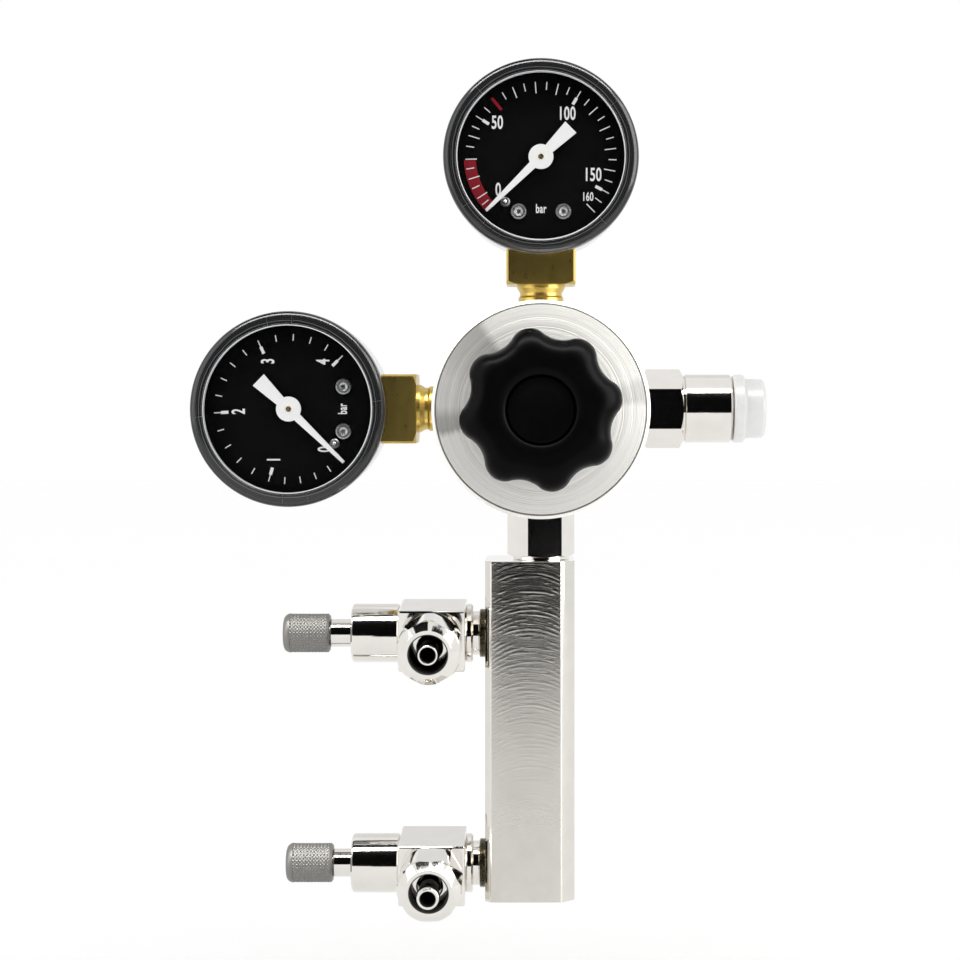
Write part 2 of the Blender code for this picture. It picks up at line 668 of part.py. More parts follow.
def make_valve_works(axis, poppet_axis, finishes):
    """The seat under the diaphragm, the poppet that closes it, its spring and the plug at the back."""
    head_low = LOW_CHAMBER_FLOOR + SEAT_GAP
    seat_low = SEAT_END + SEAT_GAP
    turned(
        "valve_seat",
        [
            (SEAT_BORE, head_low + SEAT_HEAD_HEIGHT), (SEAT_HEAD_RADIUS, head_low + SEAT_HEAD_HEIGHT),
            (SEAT_HEAD_RADIUS, head_low), (SEAT_THREAD_RADIUS, head_low), (SEAT_THREAD_RADIUS, seat_low),
            (SEAT_BORE + SEAT_GAP, seat_low), (SEAT_BORE, seat_low + SEAT_GAP),
        ],
        axis, finishes["bright_brass"], SMALL_STEPS,
    )
    head_top = seat_low - SEAT_GAP
    head_end = head_top - POPPET_HEAD
    tail_end = head_end - POPPET_TAIL
    turned(
        "valve_poppet",
        [
            (0, SPIGOT_TOP), (POPPET_PIN_RADIUS, SPIGOT_TOP), (POPPET_PIN_RADIUS, head_top),
            (POPPET_RADIUS, head_top), (POPPET_RADIUS, head_end), (POPPET_TAIL_RADIUS, head_end),
            (POPPET_TAIL_RADIUS, tail_end), (0, tail_end),
        ],
        poppet_axis, finishes["bright_brass"], TINY_STEPS,
    )
    plug_top = BODY_BACK + PLUG_HEIGHT
    coil(
        "poppet_spring", POPPET_SPRING_RADIUS, POPPET_SPRING_WIRE, plug_top + SEAT_GAP,
        head_end - SEAT_GAP, POPPET_SPRING_TURNS, axis, finishes["steel"], sides=5,
    )
    plug = turned(
        "poppet_plug",
        [
            (0, plug_top), (HIGH_CHAMBER_RADIUS - THREAD_GAP, plug_top),
            (HIGH_CHAMBER_RADIUS - THREAD_GAP, BODY_BACK + SEAT_GAP), (0, BODY_BACK + SEAT_GAP),
        ],
        axis, finishes["nickel"], SMALL_STEPS,
    )
    cut(plug, prism(hexagon(PLUG_KEY), BODY_BACK - BODY_EDGE, BODY_BACK + PLUG_HEIGHT / 2), "key")


def make_inlet(finishes, mouth, plug_axis):
    """The inlet connector with its filter, its seal and the transport plug in its mouth. +Z points out."""
    hex_end = -INLET_BARREL_LENGTH
    hex_start = PORT_FACE + SEAT_GAP - AXIS_TO_MOUTH
    shank_end = PORT_FACE - PORT_DEPTH + SEAT_GAP - AXIS_TO_MOUTH
    connector = turned(
        "inlet_connector",
        [
            (0, 0), (INLET_BARREL_RADIUS, 0), (INLET_BARREL_RADIUS, hex_end - SEAT_GAP),
            (PORT_THREAD_RADIUS, hex_end - SEAT_GAP), (PORT_THREAD_RADIUS, shank_end), (0, shank_end),
        ],
        mouth, finishes["nickel"],
    )
    join_hexagon(connector, "inlet_hexagon", INLET_HEX, 0.0, hex_start, hex_end)
    bore = INLET_THREAD_RADIUS + THREAD_GAP
    filter_seat = -INLET_THREAD_DEPTH - FILTER_THICKNESS - SEAT_GAP
    cut(connector, spun(
        [
            (0, BODY_EDGE), (bore, BODY_EDGE), (bore, -INLET_THREAD_DEPTH),
            (FILTER_RADIUS + SEAT_GAP, -INLET_THREAD_DEPTH), (FILTER_RADIUS + SEAT_GAP, filter_seat),
            (INLET_PASSAGE, filter_seat), (INLET_PASSAGE, shank_end - BODY_EDGE), (0, shank_end - BODY_EDGE),
        ],
        SMALL_STEPS,
    ), "bore")
    turned(
        "inlet_filter",
        [
            (0, -INLET_THREAD_DEPTH), (FILTER_RADIUS, -INLET_THREAD_DEPTH),
            (FILTER_RADIUS, filter_seat + SEAT_GAP), (0, filter_seat + SEAT_GAP),
        ],
        mouth, finishes["bright_brass"], SMALL_STEPS,
    )
    seal_low = -INLET_THREAD_DEPTH + SEAT_GAP
    seal_top = -PLUG_STUD_LENGTH - SEAT_GAP
    turned(
        "inlet_seal",
        [
            (FILTER_RADIUS * 0.6, seal_top), (INLET_THREAD_RADIUS, seal_top), (INLET_THREAD_RADIUS, seal_low),
            (FILTER_RADIUS * 0.6, seal_low),
        ],
        mouth, finishes["seal"], SMALL_STEPS,
    )
    flange_end = SEAT_GAP + PLUG_FLANGE
    head_end = flange_end + PLUG_HEAD_LENGTH
    turned(
        "inlet_plug",
        [
            (0, head_end), (PLUG_HEAD_RADIUS - HEX_CHAMFER, head_end),
            (PLUG_HEAD_RADIUS, head_end - HEX_CHAMFER), (PLUG_HEAD_RADIUS, flange_end),
            (INLET_BARREL_RADIUS, flange_end), (INLET_BARREL_RADIUS, SEAT_GAP),
            (INLET_THREAD_RADIUS, SEAT_GAP), (INLET_THREAD_RADIUS, -PLUG_STUD_LENGTH), (0, -PLUG_STUD_LENGTH),
        ],
        plug_axis, finishes["plug"],
    )


def make_manifold(outlet, finishes):
    """The hexagon nipple under the body and the drilled square bar that it carries."""
    nipple_low = NIPPLE_TOP - NIPPLE_HEX_LENGTH
    thread = PORT_THREAD_RADIUS
    port_end = -(PORT_FACE - PORT_DEPTH) - SEAT_GAP
    nipple = turned(
        "outlet_nipple",
        [
            (0, port_end), (thread, port_end), (thread, nipple_low - NIPPLE_THREAD),
            (0, nipple_low - NIPPLE_THREAD),
        ],
        outlet, finishes["nickel"], SMALL_STEPS,
    )
    join_hexagon(nipple, "nipple_hexagon", NIPPLE_HEX, NIPPLE_TURN, nipple_low, NIPPLE_TOP)
    bore = ring_of_points(NIPPLE_BORE, TINY_STEPS)
    cut(nipple, prism(bore, nipple_low - NIPPLE_THREAD - BODY_EDGE, port_end + BODY_EDGE), "bore")
    left, right = BLOCK_OFFSET - BLOCK_WIDTH / 2, BLOCK_OFFSET + BLOCK_WIDTH / 2
    front, back = -BLOCK_DEPTH / 2, BLOCK_DEPTH / 2
    outline = [
        (left + BLOCK_LEFT_EDGE, front), (right - BLOCK_RIGHT_EDGE, front), (right, front + BLOCK_RIGHT_EDGE),
        (right, back - BLOCK_RIGHT_EDGE), (right - BLOCK_RIGHT_EDGE, back), (left + BLOCK_LEFT_EDGE, back),
        (left, back - BLOCK_LEFT_EDGE), (left, front + BLOCK_LEFT_EDGE),
    ]
    shape = prism(outline, BLOCK_TOP - BLOCK_LENGTH, BLOCK_TOP)
    ends = [edge for edge in shape.edges if abs(edge.verts[0].co.z - edge.verts[1].co.z) < BLOCK_CORNER]
    bmesh.ops.bevel(
        shape, geom=ends, offset=BLOCK_CORNER, segments=1, profile=0.5, affect="EDGES", material=-1,
    )
    block = place_mesh("manifold_block", shape, outlet, finishes["milled"])
    cut(block, spun(
        [
            (0, BLOCK_TOP + BODY_EDGE), (thread + THREAD_GAP, BLOCK_TOP + BODY_EDGE),
            (thread + THREAD_GAP, nipple_low - NIPPLE_THREAD - SEAT_GAP),
            (BLOCK_PASSAGE, nipple_low - NIPPLE_THREAD - SEAT_GAP),
            (BLOCK_PASSAGE, VALVE_HEIGHTS["lower_valve"] - BLOCK_PASSAGE),
            (0, VALVE_HEIGHTS["lower_valve"] - BLOCK_PASSAGE),
        ],
        SMALL_STEPS,
    ), "passage")
    for name, height in VALVE_HEIGHTS.items():
        bore = station(f"{name}_port", (left, 0, height), (-1, 0, 0), (0, -1, 0), outlet)
        cut(block, spun(
            [
                (0, BODY_EDGE), (VALVE_THREAD_RADIUS + THREAD_GAP, BODY_EDGE),
                (VALVE_THREAD_RADIUS + THREAD_GAP, -VALVE_THREAD_DEPTH - SEAT_GAP),
                (DRILL_RADIUS, -VALVE_THREAD_DEPTH - SEAT_GAP), (DRILL_RADIUS, left - BLOCK_PASSAGE / 2),
                (0, left - BLOCK_PASSAGE / 2),
            ],
            SMALL_STEPS,
        ), f"{name}_bore", bore)


def rotated(outline, bearing):
    """An outline turned counter-clockwise about the origin."""
    c, s = math.cos(bearing), math.sin(bearing)
    return [(x * c - y * s, x * s + y * c) for x, y in outline]


def gear_teeth(radius, count_round, first, last):
    """(radius, bearing) points of the teeth numbered first to last of a wheel; tooth 0 is at bearing 0."""
    pitch = math.tau / count_round
    tip, root = radius + TOOTH_TIP_HEIGHT, radius - TOOTH_ROOT_DEPTH
    points = []
    for index in range(first, last + 1):
        middle = pitch * index
        points += [
            (root, middle - TOOTH_ROOT_SHARE * pitch), (tip, middle - TOOTH_TIP_SHARE * pitch),
            (tip, middle + TOOTH_TIP_SHARE * pitch), (root, middle + TOOTH_ROOT_SHARE * pitch),
        ]
    return points


def from_polar(points, turn=0.0, middle=(0.0, 0.0)):
    return [
        (middle[0] + radius * math.cos(bearing + turn), middle[1] + radius * math.sin(bearing + turn))
        for radius, bearing in points
    ]


def make_case(name, gauge, finishes):
    """The cup of the gauge, with the slot that the socket's holder passes through, and its clear lens."""
    inner = CASE_RADIUS - CASE_WALL
    neck_inner = CASE_NECK_RADIUS - CASE_WALL
    case = turned(
        f"{name}_case",
        [
            (0, CASE_BACK + CASE_WALL), (inner, CASE_BACK + CASE_WALL), (inner, CASE_SHOULDER - CASE_WALL),
            (neck_inner, CASE_SHOULDER), (neck_inner, CASE_LIP), (CASE_NECK_RADIUS, CASE_LIP),
            (CASE_NECK_RADIUS, CASE_SHOULDER), (CASE_RADIUS, CASE_SHOULDER),
            (CASE_RADIUS, CASE_BACK + CASE_WALL), (CASE_RADIUS - CASE_WALL, CASE_BACK), (0, CASE_BACK),
        ],
        gauge, finishes["case"], FINE_STEPS,
    )
    slot = oblong(0, -CASE_RADIUS, HOLDER_WIDTH + 2 * SEAT_GAP, CASE_RADIUS / 2)
    cut(case, prism(slot, -HOLDER_DEPTH / 2 - SEAT_GAP, HOLDER_DEPTH / 2 + SEAT_GAP), "slot")
    under = LENS_FRONT - LENS_THICKNESS
    skirt = CASE_NECK_RADIUS + SEAT_GAP
    turned(
        f"{name}_lens",
        [
            (0, LENS_FRONT), (LENS_FLAT_RADIUS, LENS_FRONT), (LENS_RADIUS, LENS_FRONT - LENS_THICKNESS / 2),
            (LENS_RADIUS, CASE_SHOULDER + SEAT_GAP), (skirt, CASE_SHOULDER + SEAT_GAP),
            (skirt, under), (0, under),
        ],
        gauge, finishes["clear"], FINE_STEPS,
    )


def screw_spots():
    return {"left": (-SCREW_SPREAD, -SCREW_DROP), "right": (SCREW_SPREAD, -SCREW_DROP)}


def make_dial(name, gauge, finishes):
    """The dial plate on its two screws, with the pin that the pointer rests against at zero."""
    back = DIAL_FACE - DIAL_THICKNESS
    plate = prism(ring_of_points(DIAL_RADIUS, FINE_STEPS), back, DIAL_FACE)
    dial = place_mesh(f"{name}_dial", plate, gauge, finishes["dial"])
    stop = math.pi / 2 - GAUGE_ZEROS[name] + STOP_ANGLE
    spot = (STOP_REACH * math.cos(stop), STOP_REACH * math.sin(stop))
    join(dial, prism(
        [(spot[0] + x, spot[1] + y) for x, y in ring_of_points(STOP_RADIUS, TINY_STEPS)],
        back + DIAL_THICKNESS / 2, POINTER_HEIGHT + POINTER_THICKNESS,
    ), "stop")
    holes = [((0, 0), 2 * PINION_SHAFT_RADIUS)]
    holes += [(spot, SCREW_SHANK_RADIUS + FINE_GAP) for spot in screw_spots().values()]
    for number, ((x, y), radius) in enumerate(holes):
        outline = [(x + a, y + b) for a, b in ring_of_points(radius, TINY_STEPS)]
        cut(dial, prism(outline, back - DIAL_THICKNESS, DIAL_FACE + DIAL_THICKNESS), f"hole_{number}")
    for side, (x, y) in screw_spots().items():
        low = DIAL_FACE + FINE_GAP
        seat = station(f"{name}_screw_{side}_axis", (x, y, 0), (0, 0, 1), (1, 0, 0), gauge)
        turned(
            f"{name}_dial_screw_{side}",
            [
                (0, low + SCREW_HEAD_HEIGHT), (SCREW_HEAD_RADIUS * 0.7, low + SCREW_HEAD_HEIGHT),
                (SCREW_HEAD_RADIUS, low + SCREW_HEAD_HEIGHT * 0.4), (SCREW_HEAD_RADIUS, low),
                (SCREW_SHANK_RADIUS, low), (SCREW_SHANK_RADIUS, low - SCREW_LENGTH), (0, low - SCREW_LENGTH),
            ],
            seat, finishes["steel"], TINY_STEPS,
        )


def make_socket(name, gauge, finishes):
    """The brass socket: threaded neck, square for the spanner, and the holder inside the case."""
    square_low = SOCKET_END - GAUGE_REACH
    neck_low = PORT_FACE - PORT_DEPTH + SEAT_GAP - GAUGE_REACH
    half = SOCKET_SQUARE / 2
    saddle = CASE_RADIUS + SEAT_GAP
    top = -math.sqrt(saddle ** 2 - half ** 2) + SEAT_GAP
    socket = place_mesh(
        f"{name}_socket",
        prism(oblong(0, (square_low + top) / 2, SOCKET_SQUARE, top - square_low), -half, half),
        gauge, finishes["brass"],
    )
    cut(socket, prism(ring_of_points(saddle, FINE_STEPS), -SOCKET_SQUARE, SOCKET_SQUARE), "saddle")
    bottom = -saddle - half / 4
    holder = oblong(0, (bottom + HOLDER_TOP) / 2, HOLDER_WIDTH, HOLDER_TOP - bottom)
    join(socket, prism(holder, -HOLDER_DEPTH / 2, HOLDER_DEPTH / 2), "holder")
    stem = station(f"{name}_neck_axis", (0, 0, 0), (0, 1, 0), (1, 0, 0), gauge)
    neck = ring_of_points(PORT_THREAD_RADIUS, SMALL_STEPS)
    join(socket, prism(neck, neck_low, square_low + SEAT_GAP), "neck", stem)
    bore = ring_of_points(DRILL_RADIUS, TINY_STEPS)
    cut(socket, prism(bore, neck_low - BODY_EDGE, HOLDER_TOP - HOLDER_DEPTH / 2), "bore", stem)
    post_top = DIAL_FACE - DIAL_THICKNESS - SEAT_GAP
    for side, (x, y) in screw_spots().items():
        for label, radius, low, high in (
            ("post", POST_RADIUS, 0, post_top),
            ("post_bore", SCREW_SHANK_RADIUS + FINE_GAP, post_top - SCREW_LENGTH, post_top + BODY_EDGE),
        ):
            outline = [(x + a, y + b) for a, b in ring_of_points(radius, TINY_STEPS)]
            change = join if label == "post" else cut
            change(socket, prism(outline, low, high), f"{label}_{side}")


def make_tube(name, gauge, finishes):
    """The Bourdon tube: a flat oval section bent round the case, closed by its end block."""
    start = math.pi + math.acos((HOLDER_WIDTH / 2 + SEAT_GAP) / (TUBE_RADIUS - TUBE_HALF_WALL))
    wall, width = TUBE_HALF_WALL, TUBE_HALF_WIDTH
    section = [
        (-wall * 0.5, -width), (wall * 0.5, -width), (wall, -width * 0.7), (wall, width * 0.7),
        (wall * 0.5, width), (-wall * 0.5, width), (-wall, width * 0.7), (-wall, -width * 0.7),
    ]
    shape = bmesh.new()
    face = shape.faces.new([
        shape.verts.new(((TUBE_RADIUS + x) * math.cos(start), (TUBE_RADIUS + x) * math.sin(start), z))
        for x, z in section
    ])
    bmesh.ops.spin(
        shape, geom=[face, *face.verts, *face.edges], cent=(0, 0, 0), axis=(0, 0, 1),
        angle=TUBE_END_BEARING - start, steps=SMALL_STEPS, use_duplicate=False,
    )
    tube = place_mesh(f"{name}_bourdon_tube", shape, gauge, finishes["bright_brass"])
    block = oblong(TUBE_RADIUS, 0, 2.6 * wall, 3 * wall)
    join(tube, prism(rotated(block, TUBE_END_BEARING), -width - FINE_GAP, link_height() - SEAT_GAP), "end")


def works_height():
    """Height of the sector's low face, just above the lower plate."""
    return WORKS_FLOOR + WORKS_PLATE + 2 * FINE_GAP


def link_height():
    """Height of the link's low face, just above the sector's tail."""
    return works_height() + SECTOR_THICKNESS + SEAT_GAP


def wheel_spacing():
    return TOOTH_MODULE * (PINION_TEETH + SECTOR_WHEEL_TEETH) / 2


def pivot_spot():
    spacing = wheel_spacing()
    return (spacing * math.cos(PIVOT_BEARING), spacing * math.sin(PIVOT_BEARING))


def make_frame(name, gauge, finishes):
    """The two plates that carry the pinion and the sector, held apart by two pillars."""
    pivot = pivot_spot()
    low_edge = -SCREW_DROP + POST_RADIUS + SEAT_GAP
    outline = [
        (-PLATE_MARGIN, low_edge), (pivot[0] + PLATE_MARGIN, low_edge),
        (pivot[0] + PLATE_MARGIN, pivot[1] / 2),
        (PLATE_MARGIN, PLATE_MARGIN), (-PLATE_MARGIN, PLATE_MARGIN),
    ]
    top_low = WORKS_TOP - WORKS_PLATE
    plate = prism(outline, WORKS_FLOOR, WORKS_FLOOR + WORKS_PLATE)
    frame = place_mesh(f"{name}_works_frame", plate, gauge, finishes["bright_brass"])
    join(frame, prism(outline, top_low, WORKS_TOP), "top_plate")
    pillars = (
        (pivot[0] - PLATE_MARGIN, low_edge + PILLAR_RADIUS * 1.2),
        (-PLATE_MARGIN * 0.7, PLATE_MARGIN * 0.7),
    )
    for number, (x, y) in enumerate(pillars):
        post = [(x + a, y + b) for a, b in ring_of_points(PILLAR_RADIUS, TINY_STEPS)]
        pillar = prism(post, WORKS_FLOOR + WORKS_PLATE / 2, WORKS_TOP - WORKS_PLATE / 2)
        join(frame, pillar, f"pillar_{number}")
    for label, (x, y), radius in (
        ("pinion_hole", (0, 0), PINION_SHAFT_RADIUS), ("sector_hole", pivot, SECTOR_PIN_RADIUS)
    ):
        hole = [(x + a, y + b) for a, b in ring_of_points(radius + FINE_GAP, SMALL_STEPS)]
        cut(frame, prism(hole, WORKS_FLOOR - WORKS_PLATE, WORKS_TOP + WORKS_PLATE), label)


def make_sector(name, gauge, finishes):
    """The toothed sector on its arbor, its tail with a peg, and the link that hangs on that peg."""
    facing = PIVOT_BEARING + math.pi
    pitch = math.tau / SECTOR_WHEEL_TEETH
    swept = GAUGE_SWEEPS[name] * PINION_TEETH / SECTOR_WHEEL_TEETH
    first = -math.ceil(swept / pitch) - SECTOR_SPARE_TEETH
    teeth = gear_teeth(TOOTH_MODULE * SECTOR_WHEEL_TEETH / 2, SECTOR_WHEEL_TEETH, first, SECTOR_SPARE_TEETH)
    tail = TAIL_BEARING - facing + math.tau
    tail_end = SECTOR_TAIL + SECTOR_PIN_RADIUS
    flank = SECTOR_PIN_RADIUS / SECTOR_TAIL
    bend = SECTOR_HUB_STEP
    back = [(SECTOR_HUB_RADIUS, teeth[-1][1] + step * bend) for step in range(1, 5)]
    back += [(SECTOR_HUB_RADIUS, tail - bend), (tail_end, tail - flank), (tail_end, tail + flank)]
    back.append((SECTOR_HUB_RADIUS, tail + bend))
    low = works_height()
    arbor = station(f"{name}_sector_axis", (*pivot_spot(), 0), (0, 0, 1), (1, 0, 0), gauge)
    sector = place_mesh(
        f"{name}_sector", prism(from_polar(teeth + back, facing), low, low + SECTOR_THICKNESS),
        arbor, finishes["bright_brass"],
    )
    pin = ring_of_points(SECTOR_PIN_RADIUS, TINY_STEPS)
    join(sector, prism(pin, WORKS_FLOOR + FINE_GAP, WORKS_TOP - FINE_GAP), "arbor")
    tail_spot = from_polar([(SECTOR_TAIL, TAIL_BEARING)])[0]
    swing = station(f"{name}_link_axis", (*tail_spot, 0), (0, 0, 1), (1, 0, 0), arbor)
    link_low = link_height()
    peg_top = link_low + LINK_THICKNESS
    peg = ring_of_points(LINK_PEG_RADIUS, TINY_STEPS)
    join(sector, prism(peg, low + SECTOR_THICKNESS / 2, peg_top), "peg", swing)
    tube_end = Vector(from_polar([(TUBE_RADIUS, TUBE_END_BEARING)])[0])
    reach = tube_end - Vector(pivot_spot()) - Vector(tail_spot)
    bar = oblong(reach.length / 2, 0, reach.length + LINK_WIDTH, LINK_WIDTH)
    bar = rotated(bar, math.atan2(reach.y, reach.x))
    link = place_mesh(f"{name}_link", prism(bar, link_low, peg_top), swing, finishes["bright_brass"])
    hole = ring_of_points(LINK_PEG_RADIUS + FINE_GAP / 2, TINY_STEPS)
    cut(link, prism(hole, link_low - LINK_THICKNESS, peg_top + LINK_THICKNESS), "eye")


def make_pointer(name, gauge, finishes):
    """The pinion on its shaft, and the white pointer pressed on the shaft's front end."""
    tooth_turn = PIVOT_BEARING + math.pi / PINION_TEETH
    teeth = gear_teeth(TOOTH_MODULE * PINION_TEETH / 2, PINION_TEETH, 0, PINION_TEETH - 1)
    low = works_height()
    pinion = place_mesh(
        f"{name}_pinion",
        prism(from_polar(teeth, tooth_turn), low - FINE_GAP, low + SECTOR_THICKNESS + FINE_GAP),
        gauge, finishes["bright_brass"],
    )
    shaft = ring_of_points(PINION_SHAFT_RADIUS, SMALL_STEPS)
    shaft_top = POINTER_HEIGHT + 2 * POINTER_THICKNESS
    join(pinion, prism(shaft, WORKS_FLOOR + FINE_GAP, shaft_top), "shaft")
    root = math.asin(POINTER_ROOT_WIDTH / 2 / POINTER_HUB_RADIUS)
    bends = [math.pi / 2 - root - (math.pi - 2 * root) * step / 8 for step in range(9)]
    right = [(POINTER_HUB_RADIUS * math.cos(bend), POINTER_HUB_RADIUS * math.sin(bend)) for bend in bends]
    outline = [(POINTER_TIP_WIDTH / 2, POINTER_LENGTH), *right, (POINTER_TAIL_WIDTH / 2, -POINTER_TAIL)]
    outline += [(-x, y) for x, y in reversed(outline)]
    shape = prism(rotated(outline, -GAUGE_ZEROS[name]), POINTER_HEIGHT, POINTER_HEIGHT + POINTER_THICKNESS)
    pointer = place_mesh(f"{name}_pointer", shape, gauge, finishes["white"])
    hole = ring_of_points(PINION_SHAFT_RADIUS + FINE_GAP / 2, SMALL_STEPS)
    through = prism(hole, POINTER_HEIGHT - POINTER_THICKNESS, POINTER_HEIGHT + 2 * POINTER_THICKNESS)
    cut(pointer, through, "hole")


def make_gauge(name, place, across, finishes):
    gauge = station(f"{name}_axis", place, FRONT, across)
    make_case(name, gauge, finishes)
    make_dial(name, gauge, finishes)
    make_socket(name, gauge, finishes)
    make_tube(name, gauge, finishes)
    make_frame(name, gauge, finishes)
    make_sector(name, gauge, finishes)
    make_pointer(name, gauge, finishes)


def make_valve_body(name, valve, outlet, finishes):
    """The square body: threaded shank, collar, drilled seat and chamber, and the boss for the hose."""
    body = turned(
        f"{name}_body",
        [
            (0, VALVE_SQUARE_START + VALVE_EDGE), (VALVE_COLLAR_RADIUS, VALVE_SQUARE_START + VALVE_EDGE),
            (VALVE_COLLAR_RADIUS, VALVE_COLLAR_START), (VALVE_RELIEF_RADIUS, VALVE_COLLAR_START),
            (VALVE_RELIEF_RADIUS, PORT_RING_THICKNESS), (VALVE_THREAD_RADIUS, PORT_RING_THICKNESS - SEAT_GAP),
            (VALVE_THREAD_RADIUS, -VALVE_THREAD_DEPTH), (0, -VALVE_THREAD_DEPTH),
        ],
        valve, finishes["nickel"], SMALL_STEPS,
    )
    square = prism(oblong(0, 0, VALVE_SQUARE, VALVE_SQUARE), VALVE_SQUARE_START, VALVE_SQUARE_END)
    bmesh.ops.bevel(
        square, geom=square.edges[:], offset=VALVE_EDGE, segments=1, profile=0.5, affect="EDGES", material=-1,
    )
    join(body, square, "square")
    join(body, spun(
        [
            (0, OUTLET_THREAD_END), (OUTLET_THREAD_RADIUS, OUTLET_THREAD_END),
            (OUTLET_THREAD_RADIUS, BOSS_END),
            (BOSS_RADIUS, BOSS_END), (BOSS_RADIUS, VALVE_CHAMBER_RADIUS), (0, VALVE_CHAMBER_RADIUS),
        ],
        SMALL_STEPS,
    ), "boss", outlet)
    cut(body, spun(
        [
            (0, VALVE_SQUARE_END + VALVE_EDGE), (VALVE_CHAMBER_RADIUS, VALVE_SQUARE_END + VALVE_EDGE),
            (VALVE_CHAMBER_RADIUS, VALVE_CHAMBER_FLOOR), (VALVE_SEAT_RADIUS, VALVE_CHAMBER_FLOOR),
            (VALVE_SEAT_RADIUS, -VALVE_THREAD_DEPTH - VALVE_EDGE), (0, -VALVE_THREAD_DEPTH - VALVE_EDGE),
        ],
        SMALL_STEPS,
    ), "chamber")
    bore = ring_of_points(OUTLET_BORE, TINY_STEPS)
    cut(body, prism(bore, 0, OUTLET_THREAD_END + VALVE_EDGE), "outlet", outlet)
    ring_low = PORT_RING_THICKNESS + SEAT_GAP / 2
    turned(
        f"{name}_port_ring",
        [
            (VALVE_RELIEF_RADIUS + FINE_GAP, VALVE_COLLAR_START - FINE_GAP),
            (PORT_RING_RADIUS, VALVE_COLLAR_START - FINE_GAP), (PORT_RING_RADIUS, ring_low),
            (VALVE_RELIEF_RADIUS + FINE_GAP, ring_low),
        ],
        valve, finishes["steel"], SMALL_STEPS,
    )


def make_gland(name, valve, finishes):
    """The round nut that screws into the square body and guides the stem."""
    bore = STEM_RADIUS + SEAT_GAP
    low = VALVE_SQUARE_END + SEAT_GAP
    spigot = VALVE_CHAMBER_RADIUS - THREAD_GAP
    turned(
        f"{name}_gland",
        [
            (bore, GLAND_END), (GLAND_RADIUS - VALVE_EDGE, GLAND_END), (GLAND_RADIUS, GLAND_END - VALVE_EDGE),
            (GLAND_RADIUS, low), (spigot, low), (spigot, low - GLAND_SPIGOT),
            (PACKING_RADIUS, low - GLAND_SPIGOT), (PACKING_RADIUS, PACKING_END), (bore, PACKING_END),
        ],
        valve, finishes["nickel"], ROUND_STEPS,
    )


def ribbed(radius, depth):
    """A ring of points that step in by depth at every second one."""
    bearings = [math.tau * index / (2 * VALVE_KNOB_RIBS) for index in range(2 * VALVE_KNOB_RIBS)]
    return from_polar([(radius - depth * (index % 2), bearing) for index, bearing in enumerate(bearings)])


def make_stem(name, ring_axis, knob_axis, finishes):
    """The needle with its stem, the O-ring that seals it and the knurled knob on its end."""
    tip = VALVE_CHAMBER_FLOOR - NEEDLE_CONE / 3
    tenon = VALVE_KNOB_START - SEAT_GAP
    turned(
        f"{name}_stem",
        [
            (0, STEM_END), (STEM_TENON, STEM_END), (STEM_TENON, tenon), (STEM_RADIUS, tenon),
            (STEM_RADIUS, NEEDLE_SHOULDER), (NEEDLE_RADIUS, NEEDLE_SHOULDER),
            (NEEDLE_RADIUS, tip + NEEDLE_CONE),
            (NEEDLE_TIP_RADIUS, tip), (0, tip),
        ],
        knob_axis, finishes["nickel"], SMALL_STEPS,
    )
    middle = (STEM_RADIUS + PACKING_RADIUS) / 2
    section = [(middle + x, O_RING_STATION + y) for x, y in ring_of_points(O_RING_SECTION, 6)]
    turned(f"{name}_o_ring", section, ring_axis, finishes["rubber"], SMALL_STEPS)
    end = VALVE_KNOB_START + VALVE_KNOB_LENGTH
    shoulder = end - VALVE_KNOB_DOME
    sections = [
        (ribbed(VALVE_KNOB_RADIUS - VALVE_RIB_DEPTH, 0), VALVE_KNOB_START),
        (ribbed(VALVE_KNOB_RADIUS, VALVE_RIB_DEPTH), VALVE_KNOB_START + VALVE_RIB_DEPTH),
        (ribbed(VALVE_KNOB_RADIUS, VALVE_RIB_DEPTH), shoulder),
    ]
    for step in (1, 2, 3):
        bend = math.pi / 2 * step / 3.4
        radius = VALVE_KNOB_RADIUS - VALVE_KNOB_DOME * (1 - math.cos(bend))
        outline = ribbed(radius, VALVE_RIB_DEPTH * math.cos(bend))
        sections.append((outline, shoulder + VALVE_KNOB_DOME * math.sin(bend)))
    knob = place_mesh(f"{name}_knob", lofted(sections), knob_axis, finishes["milled"])
    bore = ring_of_points(STEM_TENON + SEAT_GAP, TINY_STEPS)
    cut(knob, prism(bore, VALVE_KNOB_START - VALVE_KNOB_DOME, STEM_END + SEAT_GAP), "bore")


